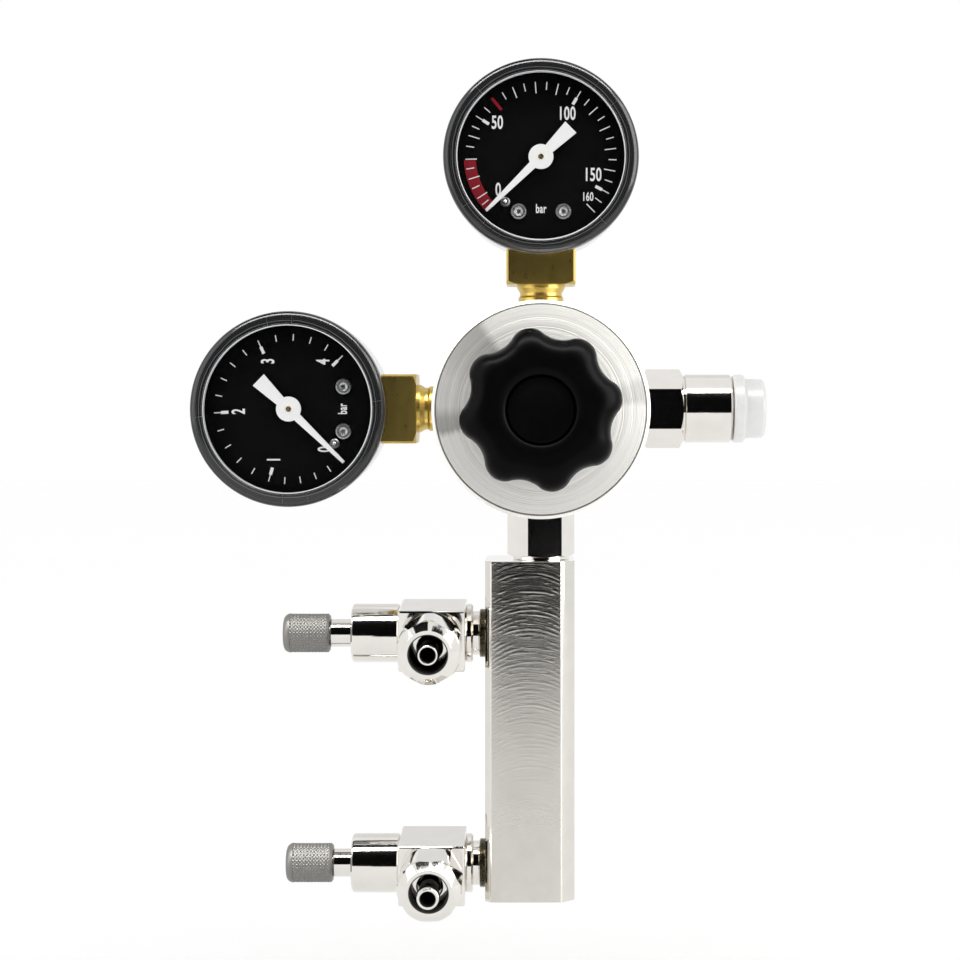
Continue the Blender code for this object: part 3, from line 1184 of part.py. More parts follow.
def make_outlet(name, outlet, nut_axis, finishes):
    """The hose nozzle pressed in the boss and the union nut that clamps the hose on it."""
    seat = OUTLET_THREAD_END + SEAT_GAP
    turned(
        f"{name}_nozzle",
        [
            (NOZZLE_BORE, NOZZLE_TIP), (NOZZLE_RADIUS, NOZZLE_TIP),
            (NOZZLE_RADIUS + NOZZLE_BULGE, NOZZLE_TIP - NOZZLE_BULGE_START),
            (NOZZLE_RADIUS, NOZZLE_TIP - NOZZLE_BULGE_END), (NOZZLE_RADIUS, seat + NOZZLE_SHOULDER),
            (NOZZLE_SHOULDER_RADIUS, seat + NOZZLE_SHOULDER / 3), (NOZZLE_SHOULDER_RADIUS, seat),
            (OUTLET_BORE - SEAT_GAP, seat), (OUTLET_BORE - SEAT_GAP, NOZZLE_ROOT), (NOZZLE_BORE, NOZZLE_ROOT),
        ],
        outlet, finishes["nickel"], SMALL_STEPS,
    )
    start = UNION_STARTS[name]
    end = start + UNION_LENGTH
    corner = UNION_HEX / 2 / math.cos(math.pi / 6)
    blank = prism(hexagon(UNION_HEX, UNION_TURNS[name]), start, end)
    nut = place_mesh(f"{name}_union_nut", blank, nut_axis, finishes["nickel"])
    combine(nut, spun(
        [
            (0, end), (UNION_RIM_RADIUS, end), (corner, end - UNION_CONE), (corner, start + VALVE_EDGE),
            (UNION_HEX / 2, start), (0, start),
        ],
        ROUND_STEPS,
    ), "INTERSECT", "blank")
    thread = OUTLET_THREAD_RADIUS + THREAD_GAP
    step = start + UNION_THREAD_LENGTH
    cut(nut, spun(
        [
            (0, end + VALVE_EDGE), (UNION_BORE, end + VALVE_EDGE), (UNION_BORE, step + VALVE_EDGE),
            (thread, step), (thread, start - VALVE_EDGE), (0, start - VALVE_EDGE),
        ],
        SMALL_STEPS,
    ), "bore")


def make_valve(name, upright, finishes):
    """One needle valve on the block's left face, its outlet towards the front and tilted a little down."""
    face = BLOCK_OFFSET - BLOCK_WIDTH / 2
    tilt = VALVE_TILTS[name]
    forward = Vector((0, -math.cos(tilt), -math.sin(tilt)))
    valve = station(f"{name}_axis", (face, 0, VALVE_HEIGHTS[name]), -RIGHT, forward, upright)
    outlet = station(f"{name}_outlet_axis", (0, 0, OUTLET_STATION), (1, 0, 0), (0, 0, 1), valve)
    nut = station(f"{name}_nut_axis", (0, 0, 0), (0, 0, 1), (1, 0, 0), outlet)
    ring = station(f"{name}_lift", (0, 0, VALVE_OPENINGS[name]), (0, 0, 1), (1, 0, 0), valve)
    knob = station(f"{name}_knob_axis", (0, 0, 0), (0, 0, 1), (1, 0, 0), ring)
    make_valve_body(name, valve, outlet, finishes)
    make_gland(name, valve, finishes)
    make_stem(name, ring, knob, finishes)
    make_outlet(name, outlet, nut, finishes)


def main():
    clear_scene()
    finishes = make_finishes()
    centre = Vector((-AXIS_TO_MOUTH, 0, 0))
    axis = station("regulator_axis", centre, FRONT, RIGHT)
    button_axis = station("button_slide", (0, 0, 0), (0, 0, 1), (1, 0, 0), axis)
    knob_axis = station("knob_turn", (0, 0, 0), (0, 0, 1), (1, 0, 0), button_axis)
    poppet_axis = station("poppet_slide", (0, 0, 0), (0, 0, 1), (1, 0, 0), axis)
    ports = {name: station(name, centre, aim, FRONT) for name, aim in PORT_DIRECTIONS.items()}
    upright = station("upright_axis", centre, UP, RIGHT)
    mouth = station("inlet_mouth", (0, 0, 0), RIGHT, UP)
    plug_axis = station("plug_slide", (0, 0, 0), (0, 0, 1), (1, 0, 0), mouth)
    make_body(axis, ports, finishes)
    make_bonnet(axis, finishes)
    make_diaphragm(axis, finishes)
    make_spring_stack(axis, button_axis, finishes)
    make_knob(knob_axis, finishes)
    make_valve_works(axis, poppet_axis, finishes)
    make_inlet(finishes, mouth, plug_axis)
    make_manifold(upright, finishes)
    make_gauge("tank_gauge", centre + UP * GAUGE_REACH, RIGHT, finishes)
    make_gauge("working_gauge", centre - RIGHT * GAUGE_REACH, UP, finishes)
    for name in VALVE_HEIGHTS:
        make_valve(name, upright, finishes)


main()
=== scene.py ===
"""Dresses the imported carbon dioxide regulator.

The file is laid out as a Blender add-on: sizes and colours sit in property groups, each operator builds one
piece or one group of like pieces on the CAD frame, and the panel lists them. Lengths are in metres in the
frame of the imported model. Its origin is the middle of the inlet's mouth, +X points out of the inlet, +Z
points up to the tank gauge, and the star knob and both dials face -Y.
"""

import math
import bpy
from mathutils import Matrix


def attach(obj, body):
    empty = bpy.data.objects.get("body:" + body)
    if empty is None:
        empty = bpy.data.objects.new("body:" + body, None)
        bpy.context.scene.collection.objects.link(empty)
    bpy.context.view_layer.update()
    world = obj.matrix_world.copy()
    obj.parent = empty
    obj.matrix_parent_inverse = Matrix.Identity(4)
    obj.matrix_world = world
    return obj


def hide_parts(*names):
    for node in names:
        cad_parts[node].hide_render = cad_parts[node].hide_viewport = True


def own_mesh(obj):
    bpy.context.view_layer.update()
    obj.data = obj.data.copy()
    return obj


bl_info = {
    "name": "Carbon dioxide regulator",
    "version": (1, 0, 0),
    "blender": (4, 5, 0),
    "location": "View3D > Sidebar > Regulator",
    "description": "Builds the visible pieces of a gas regulator with two dial gauges and two needle valves",
    "category": "Add Mesh",
}

import bmesh
import bpy
from bpy.props import FloatProperty, FloatVectorProperty, IntProperty, PointerProperty
from mathutils import Matrix, Vector

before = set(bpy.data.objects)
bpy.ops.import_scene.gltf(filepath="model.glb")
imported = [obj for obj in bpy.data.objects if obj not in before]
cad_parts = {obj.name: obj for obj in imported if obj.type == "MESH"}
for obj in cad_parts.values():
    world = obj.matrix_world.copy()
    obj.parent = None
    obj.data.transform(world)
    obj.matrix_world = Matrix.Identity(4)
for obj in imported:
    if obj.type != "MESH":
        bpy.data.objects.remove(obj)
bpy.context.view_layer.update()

FRONT = Vector((0, -1, 0))
UP = Vector((0, 0, 1))
RIGHT = Vector((1, 0, 0))


def length(name, description, default):
    return FloatProperty(
        name=name, description=description, default=default, subtype="DISTANCE", unit="LENGTH", precision=5
    )


def angle(name, description, default):
    return FloatProperty(
        name=name, description=description, default=math.radians(default), subtype="ANGLE", unit="ROTATION"
    )


def colour(name, description, default):
    return FloatVectorProperty(
        name=name, description=description, default=default, subtype="COLOR", size=3, min=0.0, max=1.0
    )


class RegulatorSizes(bpy.types.PropertyGroup):
    """Sizes of the turned body, its bonnet, the inlet and the nipple under it"""

    axis_to_mouth: length("Axis to mouth", "From the body's axis to the mouth of the inlet", 0.039)
    radius: length("Body radius", "Outer radius of body and bonnet", 0.0213)
    back: length("Back", "Depth of the back face behind the plane of the ports", 0.013)
    split: length("Split", "Height of the joint between body and bonnet", 0.0082)
    rim: length("Bonnet rim", "Height of the bonnet's straight side", 0.0253)
    edge: length("Bonnet edge", "Width of the chamfer round the bonnet's front", 0.0006)
    edge_groove: length("Edge groove", "Width of the groove inside the bonnet's chamfer", 0.0002)
    hub: length("Bonnet hub", "Height of the flat boss in the middle of the cone", 0.0278)
    hub_radius: length("Hub radius", "Radius of the boss in the middle of the cone", 0.0082)
    port_face: length("Port face", "From the body's axis to a spot face", 0.0207)
    port_radius: length("Port radius", "Radius of a spot face", 0.0074)
    inlet_hex: length("Inlet hexagon", "Across the flats of the inlet's hexagon", 0.014)
    inlet_hex_end: length("Hexagon end", "From the mouth to the end of the hexagon", 0.01005)
    inlet_barrel: length("Barrel radius", "Outer radius of the inlet's barrel", 0.007)
    plug_radius: length("Plug radius", "Radius of the plastic plug's head", 0.006)
    plug_flange: length("Plug flange", "Thickness of the plug's flange", 0.0024)
    plug_head: length("Plug head", "Length of the plug's head", 0.0042)
    nipple_hex: length("Nipple hexagon", "Across the flats of the nipple under the body", 0.012)
    nipple_turn: angle("Nipple turn", "Turn of the nipple's hexagon", 7.5)
    nipple_top: length("Nipple top", "Height of the nipple's upper face", -0.021)
    nipple_low: length("Nipple foot", "Height of the nipple's lower face", -0.0302)
    nipple_collar: length("Nipple collar", "Radius of the collar between nipple and bar", 0.0058)


class KnobSizes(bpy.types.PropertyGroup):
    """Sizes of the star knob and of its cap"""

    lobes: IntProperty(name="Lobes", description="Lobes round the knob", default=8, min=3, max=16)
    first_lobe: angle("First lobe", "Bearing of the first lobe, clockwise from up", -10)
    lobe_radius: length("Lobe radius", "Radius at the tip of a lobe", 0.0156)
    valley_radius: length("Valley radius", "Radius at the bottom of a valley", 0.0136)
    back: length("Back", "Height of the knob's back above the plane of the ports", 0.0312)
    height: length("Height", "Thickness of the knob", 0.0125)
    dome: length("Dome", "Height of the domed part", 0.00525)
    dish_radius: length("Dish radius", "Radius of the recess in the knob's front", 0.0066)
    dish_depth: length("Dish depth", "Depth of the recess in the knob's front", 0.0022)


class GaugeSizes(bpy.types.PropertyGroup):
    """Sizes that both gauges share, heights measured from the plane of the socket towards the dial"""

    reach: length("Reach", "From the body's axis to a gauge's axis", 0.0506)
    case_radius: length("Case radius", "Outer radius of the case", 0.0192)
    case_back: length("Case back", "Depth of the case behind the socket's plane", 0.011)
    case_shoulder: length("Case shoulder", "Height of the step that the lens is pushed against", 0.009)
    neck_radius: length("Neck radius", "Outer radius of the neck inside the lens", 0.018)
    lens_radius: length("Lens radius", "Outer radius of the clear lens", 0.0196)
    lens_front: length("Lens front", "Height of the lens's face", 0.0141)
    lens_flat: length("Lens flat", "Radius of the lens's flat window", 0.0168)
    dial_radius: length("Dial radius", "Radius of the dial", 0.0169)
    dial_face: length("Dial face", "Height of the dial's face", 0.01)
    print_lift: length("Print lift", "Height of the printed scale over the dial", 0.00003)
    socket_square: length("Socket square", "Across the flats of the brass square", 0.014)
    socket_end: length("Socket end", "From the body's axis to the square's foot", 0.0253)
    neck: length("Socket neck", "Radius of the brass neck in the port", 0.0046)
    pointer_height: length("Pointer height", "Height of the pointer's low face", 0.0112)
    pointer_thickness: length("Pointer thickness", "Thickness of the pointer", 0.0004)
    pointer_length: length("Pointer length", "From the pointer's hub to its tip", 0.0154)
    pointer_tail: length("Pointer tail", "From the pointer's hub to the end of its tail", 0.0084)
    pointer_hub: length("Pointer hub", "Radius of the pointer's hub", 0.0025)


class ManifoldSizes(bpy.types.PropertyGroup):
    """Sizes of the milled bar and the places of its valves"""

    offset: length("Offset", "From the body's axis to the middle of the bar", -0.00225)
    width: length("Width", "Width of the bar", 0.0181)
    depth: length("Depth", "Depth of the bar", 0.018)
    top: length("Top", "Height of the bar's upper end", -0.0308)
    length: length("Length", "Length of the bar", 0.0687)
    left_edge: length("Left edge", "Chamfer along the bar's left corners", 0.0013)
    right_edge: length("Right edge", "Chamfer along the bar's right corners", 0.0028)
    upper_valve: length("Upper valve", "Height of the upper valve's axis", -0.0461)
    lower_valve: length("Lower valve", "Height of the lower valve's axis", -0.0933)
    upper_tilt: angle("Upper tilt", "How far the upper hose nozzle points down", 4.0)
    lower_tilt: angle("Lower tilt", "How far the lower hose nozzle points down", 4.5)


class ValveSizes(bpy.types.PropertyGroup):
    """Sizes that both needle valves share, distances measured out from the bar's left face"""

    square: length("Square", "Height of the valve's square body", 0.0124)
    square_front: length("Square front", "From the valve's axis to the body's front", 0.0099)
    square_back: length("Square back", "From the valve's axis to the body's back", 0.0056)
    square_start: length("Square start", "Near end of the square body", 0.004)
    square_end: length("Square end", "Far end of the square body", 0.0175)
    collar: length("Collar radius", "Radius of the collar behind the square body", 0.006)
    collar_start: length("Collar start", "Near end of the collar", 0.0026)
    gland: length("Gland radius", "Radius of the gland nut", 0.006)
    gland_end: length("Gland end", "Far end of the gland nut", 0.0274)
    stem: length("Stem radius", "Radius of the stem", 0.00285)
    knob_start: length("Knob start", "Near end of the knurled knob", 0.0314)
    knob_length: length("Knob length", "Length of the knurled knob", 0.0095)
    knob_radius: length("Knob radius", "Radius of the knurled knob", 0.004)
    knurls: IntProperty(name="Knurls", description="Diamonds round the knob", default=36, min=8, max=60)
    knurl_depth: length("Knurl depth", "Depth of the knurl", 0.0002)
    outlet: length("Outlet", "From the bar's face to the axis of the hose nozzle", 0.01075)
    boss: length("Boss radius", "Radius of the boss for the hose nozzle", 0.0059)
    boss_end: length("Boss end", "From the valve's axis to the end of the boss", 0.0088)
    nut_hex: length("Union nut", "Across the flats of the union nut", 0.012)
    nut_length: length("Nut length", "Length of the union nut", 0.011)
    nut_cone: length("Nut cone", "Length of the nut's front cone", 0.0017)
    nut_round: length("Nut round", "Radius to which the nut's corners are turned", 0.00645)
    nut_rim: length("Nut rim", "Radius of the nut's front face", 0.00475)
    nut_bore: length("Nut bore", "Radius of the nut's front bore", 0.00375)
    nozzle: length("Nozzle radius", "Outer radius of the hose nozzle", 0.00212)
    nozzle_bore: length("Nozzle bore", "Radius of the hose nozzle's bore", 0.00155)
    nozzle_tip: length("Nozzle tip", "From the valve's axis to the nozzle's tip", 0.025)
    upper_nut: length("Upper nut", "Start of the upper union nut on its thread", 0.0133)
    lower_nut: length("Lower nut", "Start of the lower union nut on its thread", 0.0103)


class FinishColours(bpy.types.PropertyGroup):
    """Colours of the finishes"""

    nickel: colour("Nickel", "Polished nickel plate", (0.80, 0.775, 0.735))
    milled: colour("Milled nickel", "Milled and plated bar", (0.70, 0.675, 0.63))
    brass: colour("Brass", "Bare brass of the gauge sockets", (0.60, 0.44, 0.12))
    works: colour("Works brass", "Bright brass inside the gauges", (0.78, 0.60, 0.28))
    steel: colour("Steel", "Plain steel", (0.52, 0.52, 0.53))
    case: colour("Case", "Drawn steel of the gauge cases", (0.78, 0.78, 0.79))
    black: colour("Black plastic", "Moulded star knob", (0.0012, 0.0012, 0.0014))
    dial: colour("Dial", "Black dials", (0.0008, 0.0008, 0.001))
    mark: colour("Marks", "White print and pointers", (1.0, 1.0, 1.0))
    band: colour("Band", "Red print on the tank gauge", (0.33, 0.006, 0.018))
    plug: colour("Plug", "Milky plastic plug", (0.77, 0.77, 0.76))
    rubber: colour("Rubber", "Black rubber", (0.02, 0.02, 0.02))
    paper: colour("Backdrop", "Floor and surroundings", (1.0, 1.0, 1.0))


def station(place, along, across):
    """A matrix whose +Z points along and whose +X points across."""
    lift = Vector(along).normalized()
    side = Vector(across)
    side = (side - side.dot(lift) * lift).normalized()
    return Matrix.Translation(place) @ Matrix((side, lift.cross(side), lift)).transposed().to_4x4()


def body_centre(sizes):
    return Vector((-sizes.axis_to_mouth, 0, 0))


def body_station(sizes):
    return station(body_centre(sizes), FRONT, RIGHT)


def spun(profile, steps=128):
    """A bmesh of (radius, height) points spun round +Z. A profile that starts on the axis ends there."""
    shape = bmesh.new()
    points = [shape.verts.new((radius, 0, height)) for radius, height in profile]
    lines = [shape.edges.new(pair) for pair in zip(points, points[1:])]
    if profile[0][0] > 0:
        lines.append(shape.edges.new((points[-1], points[0])))
    bmesh.ops.spin(
        shape, geom=points + lines, cent=(0, 0, 0), axis=UP, angle=math.tau, steps=steps, use_merge=True
    )
    bmesh.ops.remove_doubles(shape, verts=shape.verts[:], dist=1e-7)
    bmesh.ops.recalc_face_normals(shape, faces=shape.faces[:])
    return shape


def rod(radius, low, high, steps):
    return spun([(0, high), (radius, high), (radius, low), (0, low)], steps)


def prism(outline, low, high):
    """A bmesh of a flat outline of (x, y) points, extruded from low to high."""
    shape = bmesh.new()
    face = shape.faces.new([shape.verts.new((x, y, low)) for x, y in outline])
    grown = bmesh.ops.extrude_face_region(shape, geom=[face])
    top = [part for part in grown["geom"] if isinstance(part, bmesh.types.BMVert)]
    bmesh.ops.translate(shape, verts=top, vec=(0, 0, high - low))
    bmesh.ops.recalc_face_normals(shape, faces=shape.faces[:])
    return shape


def hexagon(across_flats, turn):
    corner = across_flats / 2 / math.cos(math.pi / 6)
    bearings = [turn + math.tau * index / 6 for index in range(6)]
    return [(corner * math.cos(bearing), corner * math.sin(bearing)) for bearing in bearings]


def box_points(middle_x, middle_y, width, height):
    left, right = middle_x - width / 2, middle_x + width / 2
    low, high = middle_y - height / 2, middle_y + height / 2
    return [(left, low), (right, low), (right, high), (left, high)]


def soften(shape, width, segments=2, sharper=28):
    """Bevels every edge that is sharper than the angle in degrees."""
    limit = math.radians(sharper)
    edges = [edge for edge in shape.edges if edge.is_manifold and edge.calc_face_angle() > limit]
    bmesh.ops.bevel(
        shape, geom=edges, offset=width, segments=segments, profile=0.5, affect="EDGES", material=-1,
        clamp_overlap=True,
    )
    return shape


def gathered(parts):
    """One bmesh of several, side by side."""
    shape = bmesh.new()
    for part in parts:
        mesh = bpy.data.meshes.new("part")
        part.to_mesh(mesh)
        part.free()
        shape.from_mesh(mesh)
        bpy.data.meshes.remove(mesh)
    return shape


def moved(shape, matrix):
    bmesh.ops.transform(shape, matrix=matrix, verts=shape.verts[:])
    return shape


def loose_object(name, shape):
    mesh = bpy.data.meshes.new(name)
    shape.to_mesh(mesh)
    shape.free()
    thing = bpy.data.objects.new(name, mesh)
    bpy.context.scene.collection.objects.link(thing)
    return thing


def combined(shape, others, operation):
    """The shape cut by, joined to or intersected with others, by Boolean modifiers on short-lived objects."""
    things = [loose_object("blank", shape)] + [loose_object("tool", other) for other in others]
    for tool in things[1:]:
        change = things[0].modifiers.new(operation.lower(), "BOOLEAN")
        change.operation = operation
        change.object = tool
        change.solver = "EXACT"
    bpy.context.view_layer.update()
    result = bmesh.new()
    result.from_object(things[0], bpy.context.evaluated_depsgraph_get())
    for thing in things:
        mesh = thing.data
        bpy.data.objects.remove(thing, do_unlink=True)
        bpy.data.meshes.remove(mesh)
    return result


def carved(shape, *cutters):
    return combined(shape, cutters, "DIFFERENCE")


def merged(shape, *others):
    return combined(shape, others, "UNION")


def lathe_hexagon(across_flats, turn, low, high, chamfer):
    """A hexagon whose corners are turned down at both ends."""
    flat = across_flats / 2
    wide = flat / math.cos(math.pi / 6) + chamfer
    blank = spun(
        [(0, high), (flat, high), (wide, high - chamfer), (wide, low + chamfer), (flat, low), (0, low)], 96
    )
    return combined(prism(hexagon(across_flats, turn), low, high), [blank], "INTERSECT")


def place_piece(name, shape, place, surface, body, replaces=(), sharp=32):
    """Turns a bmesh into a piece at the origin, with its place in its mesh, riding on a body.

    The surface is a material or a shared finish's name. Edges sharper than the angle, in degrees, stay so."""
    moved(shape, place)
    bmesh.ops.remove_doubles(shape, verts=shape.verts[:], dist=2e-7)
    bmesh.ops.recalc_face_normals(shape, faces=shape.faces[:])
    piece = loose_object(name, shape)
    piece.data.name = name
    piece.data.materials.append(finish_for(surface) if isinstance(surface, str) else surface)
    piece.data.shade_smooth()
    piece.data.set_sharp_from_angle(angle=math.radians(sharp))
    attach(piece, body)
    if replaces:
        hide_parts(*replaces)
    return piece


class Wire:
    """One socket of a shader, on which Python's operators add Math nodes."""

    def __init__(self, finish, socket):
        self.finish = finish
        self.socket = socket

    def maths(self, operation, *values):
        return self.finish.node("ShaderNodeMath", *values, operation=operation)

    def __add__(self, other):
        return self.maths("ADD", self, other)

    def __radd__(self, other):
        return self.maths("ADD", other, self)

    def __sub__(self, other):
        return self.maths("SUBTRACT", self, other)

    def __rsub__(self, other):
        return self.maths("SUBTRACT", other, self)

    def __mul__(self, other):
        return self.maths("MULTIPLY", self, other)

    def __rmul__(self, other):
        return self.maths("MULTIPLY", other, self)

    def __truediv__(self, other):
        return self.maths("DIVIDE", self, other)

    def __rtruediv__(self, other):
        return self.maths("DIVIDE", other, self)

    def __pow__(self, other):
        return self.maths("POWER", self, other)

    def larger(self, other):
        return self.maths("MAXIMUM", self, other)

    def sine(self):
        return self.maths("SINE", self)

    def absolute(self):
        return self.maths("ABSOLUTE", self)

    def root(self):
        return self.maths("SQRT", self)


MIX_INPUTS, MIX_RESULT = (0, 6, 7), 2  # the Mix node's sockets for its factor, its two colours and its result


class Finish:
    """A material in the making: each method adds nodes and returns a wire."""

    def __init__(self, name):
        self.material = bpy.data.materials.new(name)
        self.material.use_nodes = True
        self.tree = self.material.node_tree
        self.shader = self.tree.nodes["Principled BSDF"]
        self.output = self.tree.nodes["Material Output"]
        self.place = self.node("ShaderNodeTexCoord", output="Object")

    def feed(self, socket, value):
        if isinstance(value, Wire):
            self.tree.links.new(value.socket, socket)
        elif hasattr(value, "__len__") and socket.type == "RGBA" and len(value) == 3:
            socket.default_value = (*value, 1.0)
        else:
            socket.default_value = value

    def node(self, kind, *values, output=0, stops=None, sockets=None, **settings):
        """Adds a node, with its settings first, then its sockets' values in order or by name."""
        made = self.tree.nodes.new(kind)
        for name, value in settings.items():
            setattr(made, name, value)
        if stops:
            ramp = made.color_ramp
            while len(ramp.elements) < len(stops):
                ramp.elements.new(0.5)
            for element, (spot, shade) in zip(ramp.elements, stops):
                element.position = spot
                element.color = (shade, shade, shade, 1) if isinstance(shade, float) else (*shade, 1)
        for socket, value in zip(made.inputs, values):
            self.feed(socket, value)
        for name, value in (sockets or {}).items():
            self.feed(made.inputs[name], value)
        return Wire(self, made.outputs[output])

    def parts(self):
        """The object's x, y and z as three wires."""
        made = self.tree.nodes.new("ShaderNodeSeparateXYZ")
        self.feed(made.inputs[0], self.place)
        return [Wire(self, socket) for socket in made.outputs]

    def distance(self, across, middle_a, up, middle_b):
        """Distance from an axis, given the two wires across it."""
        return ((across - middle_a) ** 2.0 + (up - middle_b) ** 2.0).root()

    def noise(self, size, detail=3.0, roughness=0.55, stretch=None, where=None):
        """Noise whose lumps are about this size in metres, stretched by a vector of factors if given."""
        where = where or self.place
        if stretch:
            where = self.node("ShaderNodeVectorMath", where, stretch, operation="MULTIPLY")
        return self.node(
            "ShaderNodeTexNoise",
            sockets={"Vector": where, "Scale": 1 / size, "Detail": detail, "Roughness": roughness},
        )

    def lines(self, along, size, detail=2.0):
        """Noise that changes along one wire only."""
        return self.node(
            "ShaderNodeTexNoise", noise_dimensions="1D",
            sockets={"W": along, "Scale": 1 / size, "Detail": detail},
        )

    def between(self, value, low, high):
        """0 below low, 1 above high, with a straight slope between them."""
        return self.node(
            "ShaderNodeMapRange", clamp=True,
            sockets={"Value": value, "From Min": low, "From Max": high, "To Min": 0.0, "To Max": 1.0},
        )

    def spread(self, value, low, high):
        """Maps 0..1 to low..high."""
        return value * (high - low) + low

    def mix(self, factor, first, second):
        """A colour between two colours."""
        made = self.tree.nodes.new("ShaderNodeMix")
        made.data_type = "RGBA"
        for socket, value in zip(MIX_INPUTS, (factor, first, second)):
            self.feed(made.inputs[socket], value)
        return Wire(self, made.outputs[MIX_RESULT])

    def bump(self, height, depth, under=None):
        """A bump of the height wire, whose 1 stands for depth metres."""
        sockets = {"Height": height, "Distance": depth, "Strength": 1.0}
        if under:
            sockets["Normal"] = under
        return self.node("ShaderNodeBump", sockets=sockets)

    def surface(self, **sockets):
        """Feeds the Principled shader; spaces in socket names are written as underscores."""
        for name, value in sockets.items():
            self.feed(self.shader.inputs[name.replace("_", " ")], value)
        return self.material


def tints(shade, *factors):
    """The colour times each factor."""
    return [tuple(min(1.0, part * factor) for part in shade) for factor in factors]


def grained(name, lumps, dark, light, rough, depth=0.0, **sockets):
    """A finish whose colour, relief and, where rough is a pair, roughness follow one fine noise."""
    finish = Finish(name)
    grain = finish.noise(*lumps)
    if depth:
        sockets["Normal"] = finish.bump(grain, depth)
    sockets["Roughness"] = finish.spread(grain, *rough) if isinstance(rough, tuple) else rough
    return finish.surface(Base_Color=finish.mix(grain, dark, light), **sockets)


def polished_nickel(colours):
    """Bright plate with faint clouds, fine wipes and a little orange peel."""
    finish = Finish("polished_nickel")
    clouds = finish.noise(0.004)
    wipes = finish.noise(0.0012, 4.0, 0.6, (1.0, 1.0, 5.0))
    relief = finish.bump(finish.noise(0.0022, 2.0), 0.000012)
    return finish.surface(
        Base_Color=finish.mix(clouds, *tints(colours.nickel, 0.93, 1.05)),
        Roughness=finish.spread(wipes, 0.0385, 0.112), Metallic=1.0, Normal=relief,
    )


# Painted sheen on the bonnet's cone: stops of (share of a turn clockwise from the bottom, seen from the
# front; factor on the plate's colour).
PAINTED_SECTOR_SHEEN = (
    (0.0, 0.88), (0.205, 0.88), (0.215, 0.46), (0.235, 0.5), (0.255, 0.78), (0.3, 0.78), (0.335, 0.66),
    (0.395, 0.56), (0.41, 0.98), (0.53, 1.0), (0.695, 1.0), (0.71, 0.8), (0.735, 0.76), (0.745, 1.0),
    (0.83, 0.94), (1.0, 0.88),
)


def turned_nickel_painted_sheen(colours, centre, cone, groove):
    """Plate over a lathe-turned face, with fine rings round the body's axis. On the bonnet's cone a painted
    sheen makes the colour lighter and darker in sectors by bearing, and the bonnet's front is a brighter copy
    of the plate, painted light.
    The groove inside its edge is painted nearly black, as painted shade."""
    finish = Finish("turned_nickel_painted_sheen")
    x, y, z = finish.parts()
    radius = finish.distance(x, centre.x, z, centre.z)
    fine = finish.lines(radius, 0.00022, 3.0)
    wide = finish.lines(radius, 0.0011, 2.0)
    wobble = finish.noise(0.003, 3.0)
    relief = finish.bump(fine * 0.9 + wide * 0.5 + wobble * 0.35, 0.00004)
    # Painted sheen: a ramp by bearing round the axis makes the cone's colour lighter and darker in sectors.
    bearing = finish.node("ShaderNodeMath", x - centre.x, z - centre.z, operation="ARCTAN2")
    waver = finish.lines(radius, 0.0006, 2.0) * 0.012 - 0.006
    sheen = finish.node("ShaderNodeValToRGB", bearing / math.tau + 0.5 + waver, stops=PAINTED_SECTOR_SHEEN)
    # Painted light: the bonnet's front gets a brighter copy of the plate's colour than its side and the body.
    plate = finish.mix(
        finish.between(y * -1.0, cone - 0.001, cone - 0.0008),
        finish.mix(wide, *tints(colours.nickel, 0.95, 1.1)),
        finish.mix(wide, *tints(colours.nickel, 1.16, 1.32)),
    )
    on_cone = finish.between(y * -1.0, cone - 0.0001, cone + 0.0001)
    shaded = finish.node(
        "ShaderNodeVectorMath", plate, finish.mix(on_cone, (1.0, 1.0, 1.0), sheen), operation="MULTIPLY"
    )
    # Painted shade: the groove inside the bonnet's edge is painted nearly black.
    painted_groove_shade = 1.0 - finish.between((radius - groove).absolute(), 0.00008, 0.0002)
    painted_groove_shade = painted_groove_shade * finish.between(y * -1.0, cone - 0.0005, cone - 0.0004)
    return finish.surface(
        Base_Color=finish.mix(painted_groove_shade * 0.55, shaded, (0.05, 0.048, 0.044)),
        Roughness=finish.spread(fine, 0.4, 0.54), Metallic=1.0, Normal=relief,
    )


def milled_nickel(colours, middle_x, sizes):
    """Plate over a face-milled bar: an arc across it for each pass of the cutter, and bright chamfers."""
    finish = Finish("milled_nickel")
    x, y, z = finish.parts()
    across, sweep, pitch = x - middle_x, 0.0125, 0.00096
    sag = (1.0 - (across / sweep) ** 2.0).root() * sweep
    travel = z - sag + finish.noise(0.006, 2.0) * 0.0007
    passes = (travel * (math.tau / pitch)).sine() * 0.5 + 0.5
    scratches = finish.lines(travel, 0.0003, 4.0)
    patches = finish.noise(0.0035, 3.0, 0.6)
    gaps = finish.between(finish.noise(0.0016, 2.0, 0.5, (0.35, 1.0, 1.6)), 0.42, 0.62)
    worn = finish.spread(finish.between(z, -0.075, -0.05), 0.35, 1.0)
    worn = worn * finish.spread(finish.between(z, sizes.top - 0.024, sizes.top), 1.0, 2.8)
    height = (passes * 0.35 * gaps + scratches * 0.65 * patches) * worn + finish.noise(0.0011, 3.0) * 0.12
    flat = 1.0 - finish.between(y.absolute(), sizes.depth / 2 - 0.0004, sizes.depth / 2 - 0.0001)
    low, high = sizes.top - 0.06, sizes.top - 0.012
    rough = finish.spread(scratches, 0.88, 1.12) * finish.spread(finish.between(z, low, high), 0.3, 0.15)
    return finish.surface(
        Base_Color=finish.mix(patches, *tints(colours.milled, 0.94, 1.1)),
        Roughness=rough * (1.0 - flat * 0.75), Metallic=1.0,
        Normal=finish.bump(height * (1.0 - flat), 0.000014),
    )


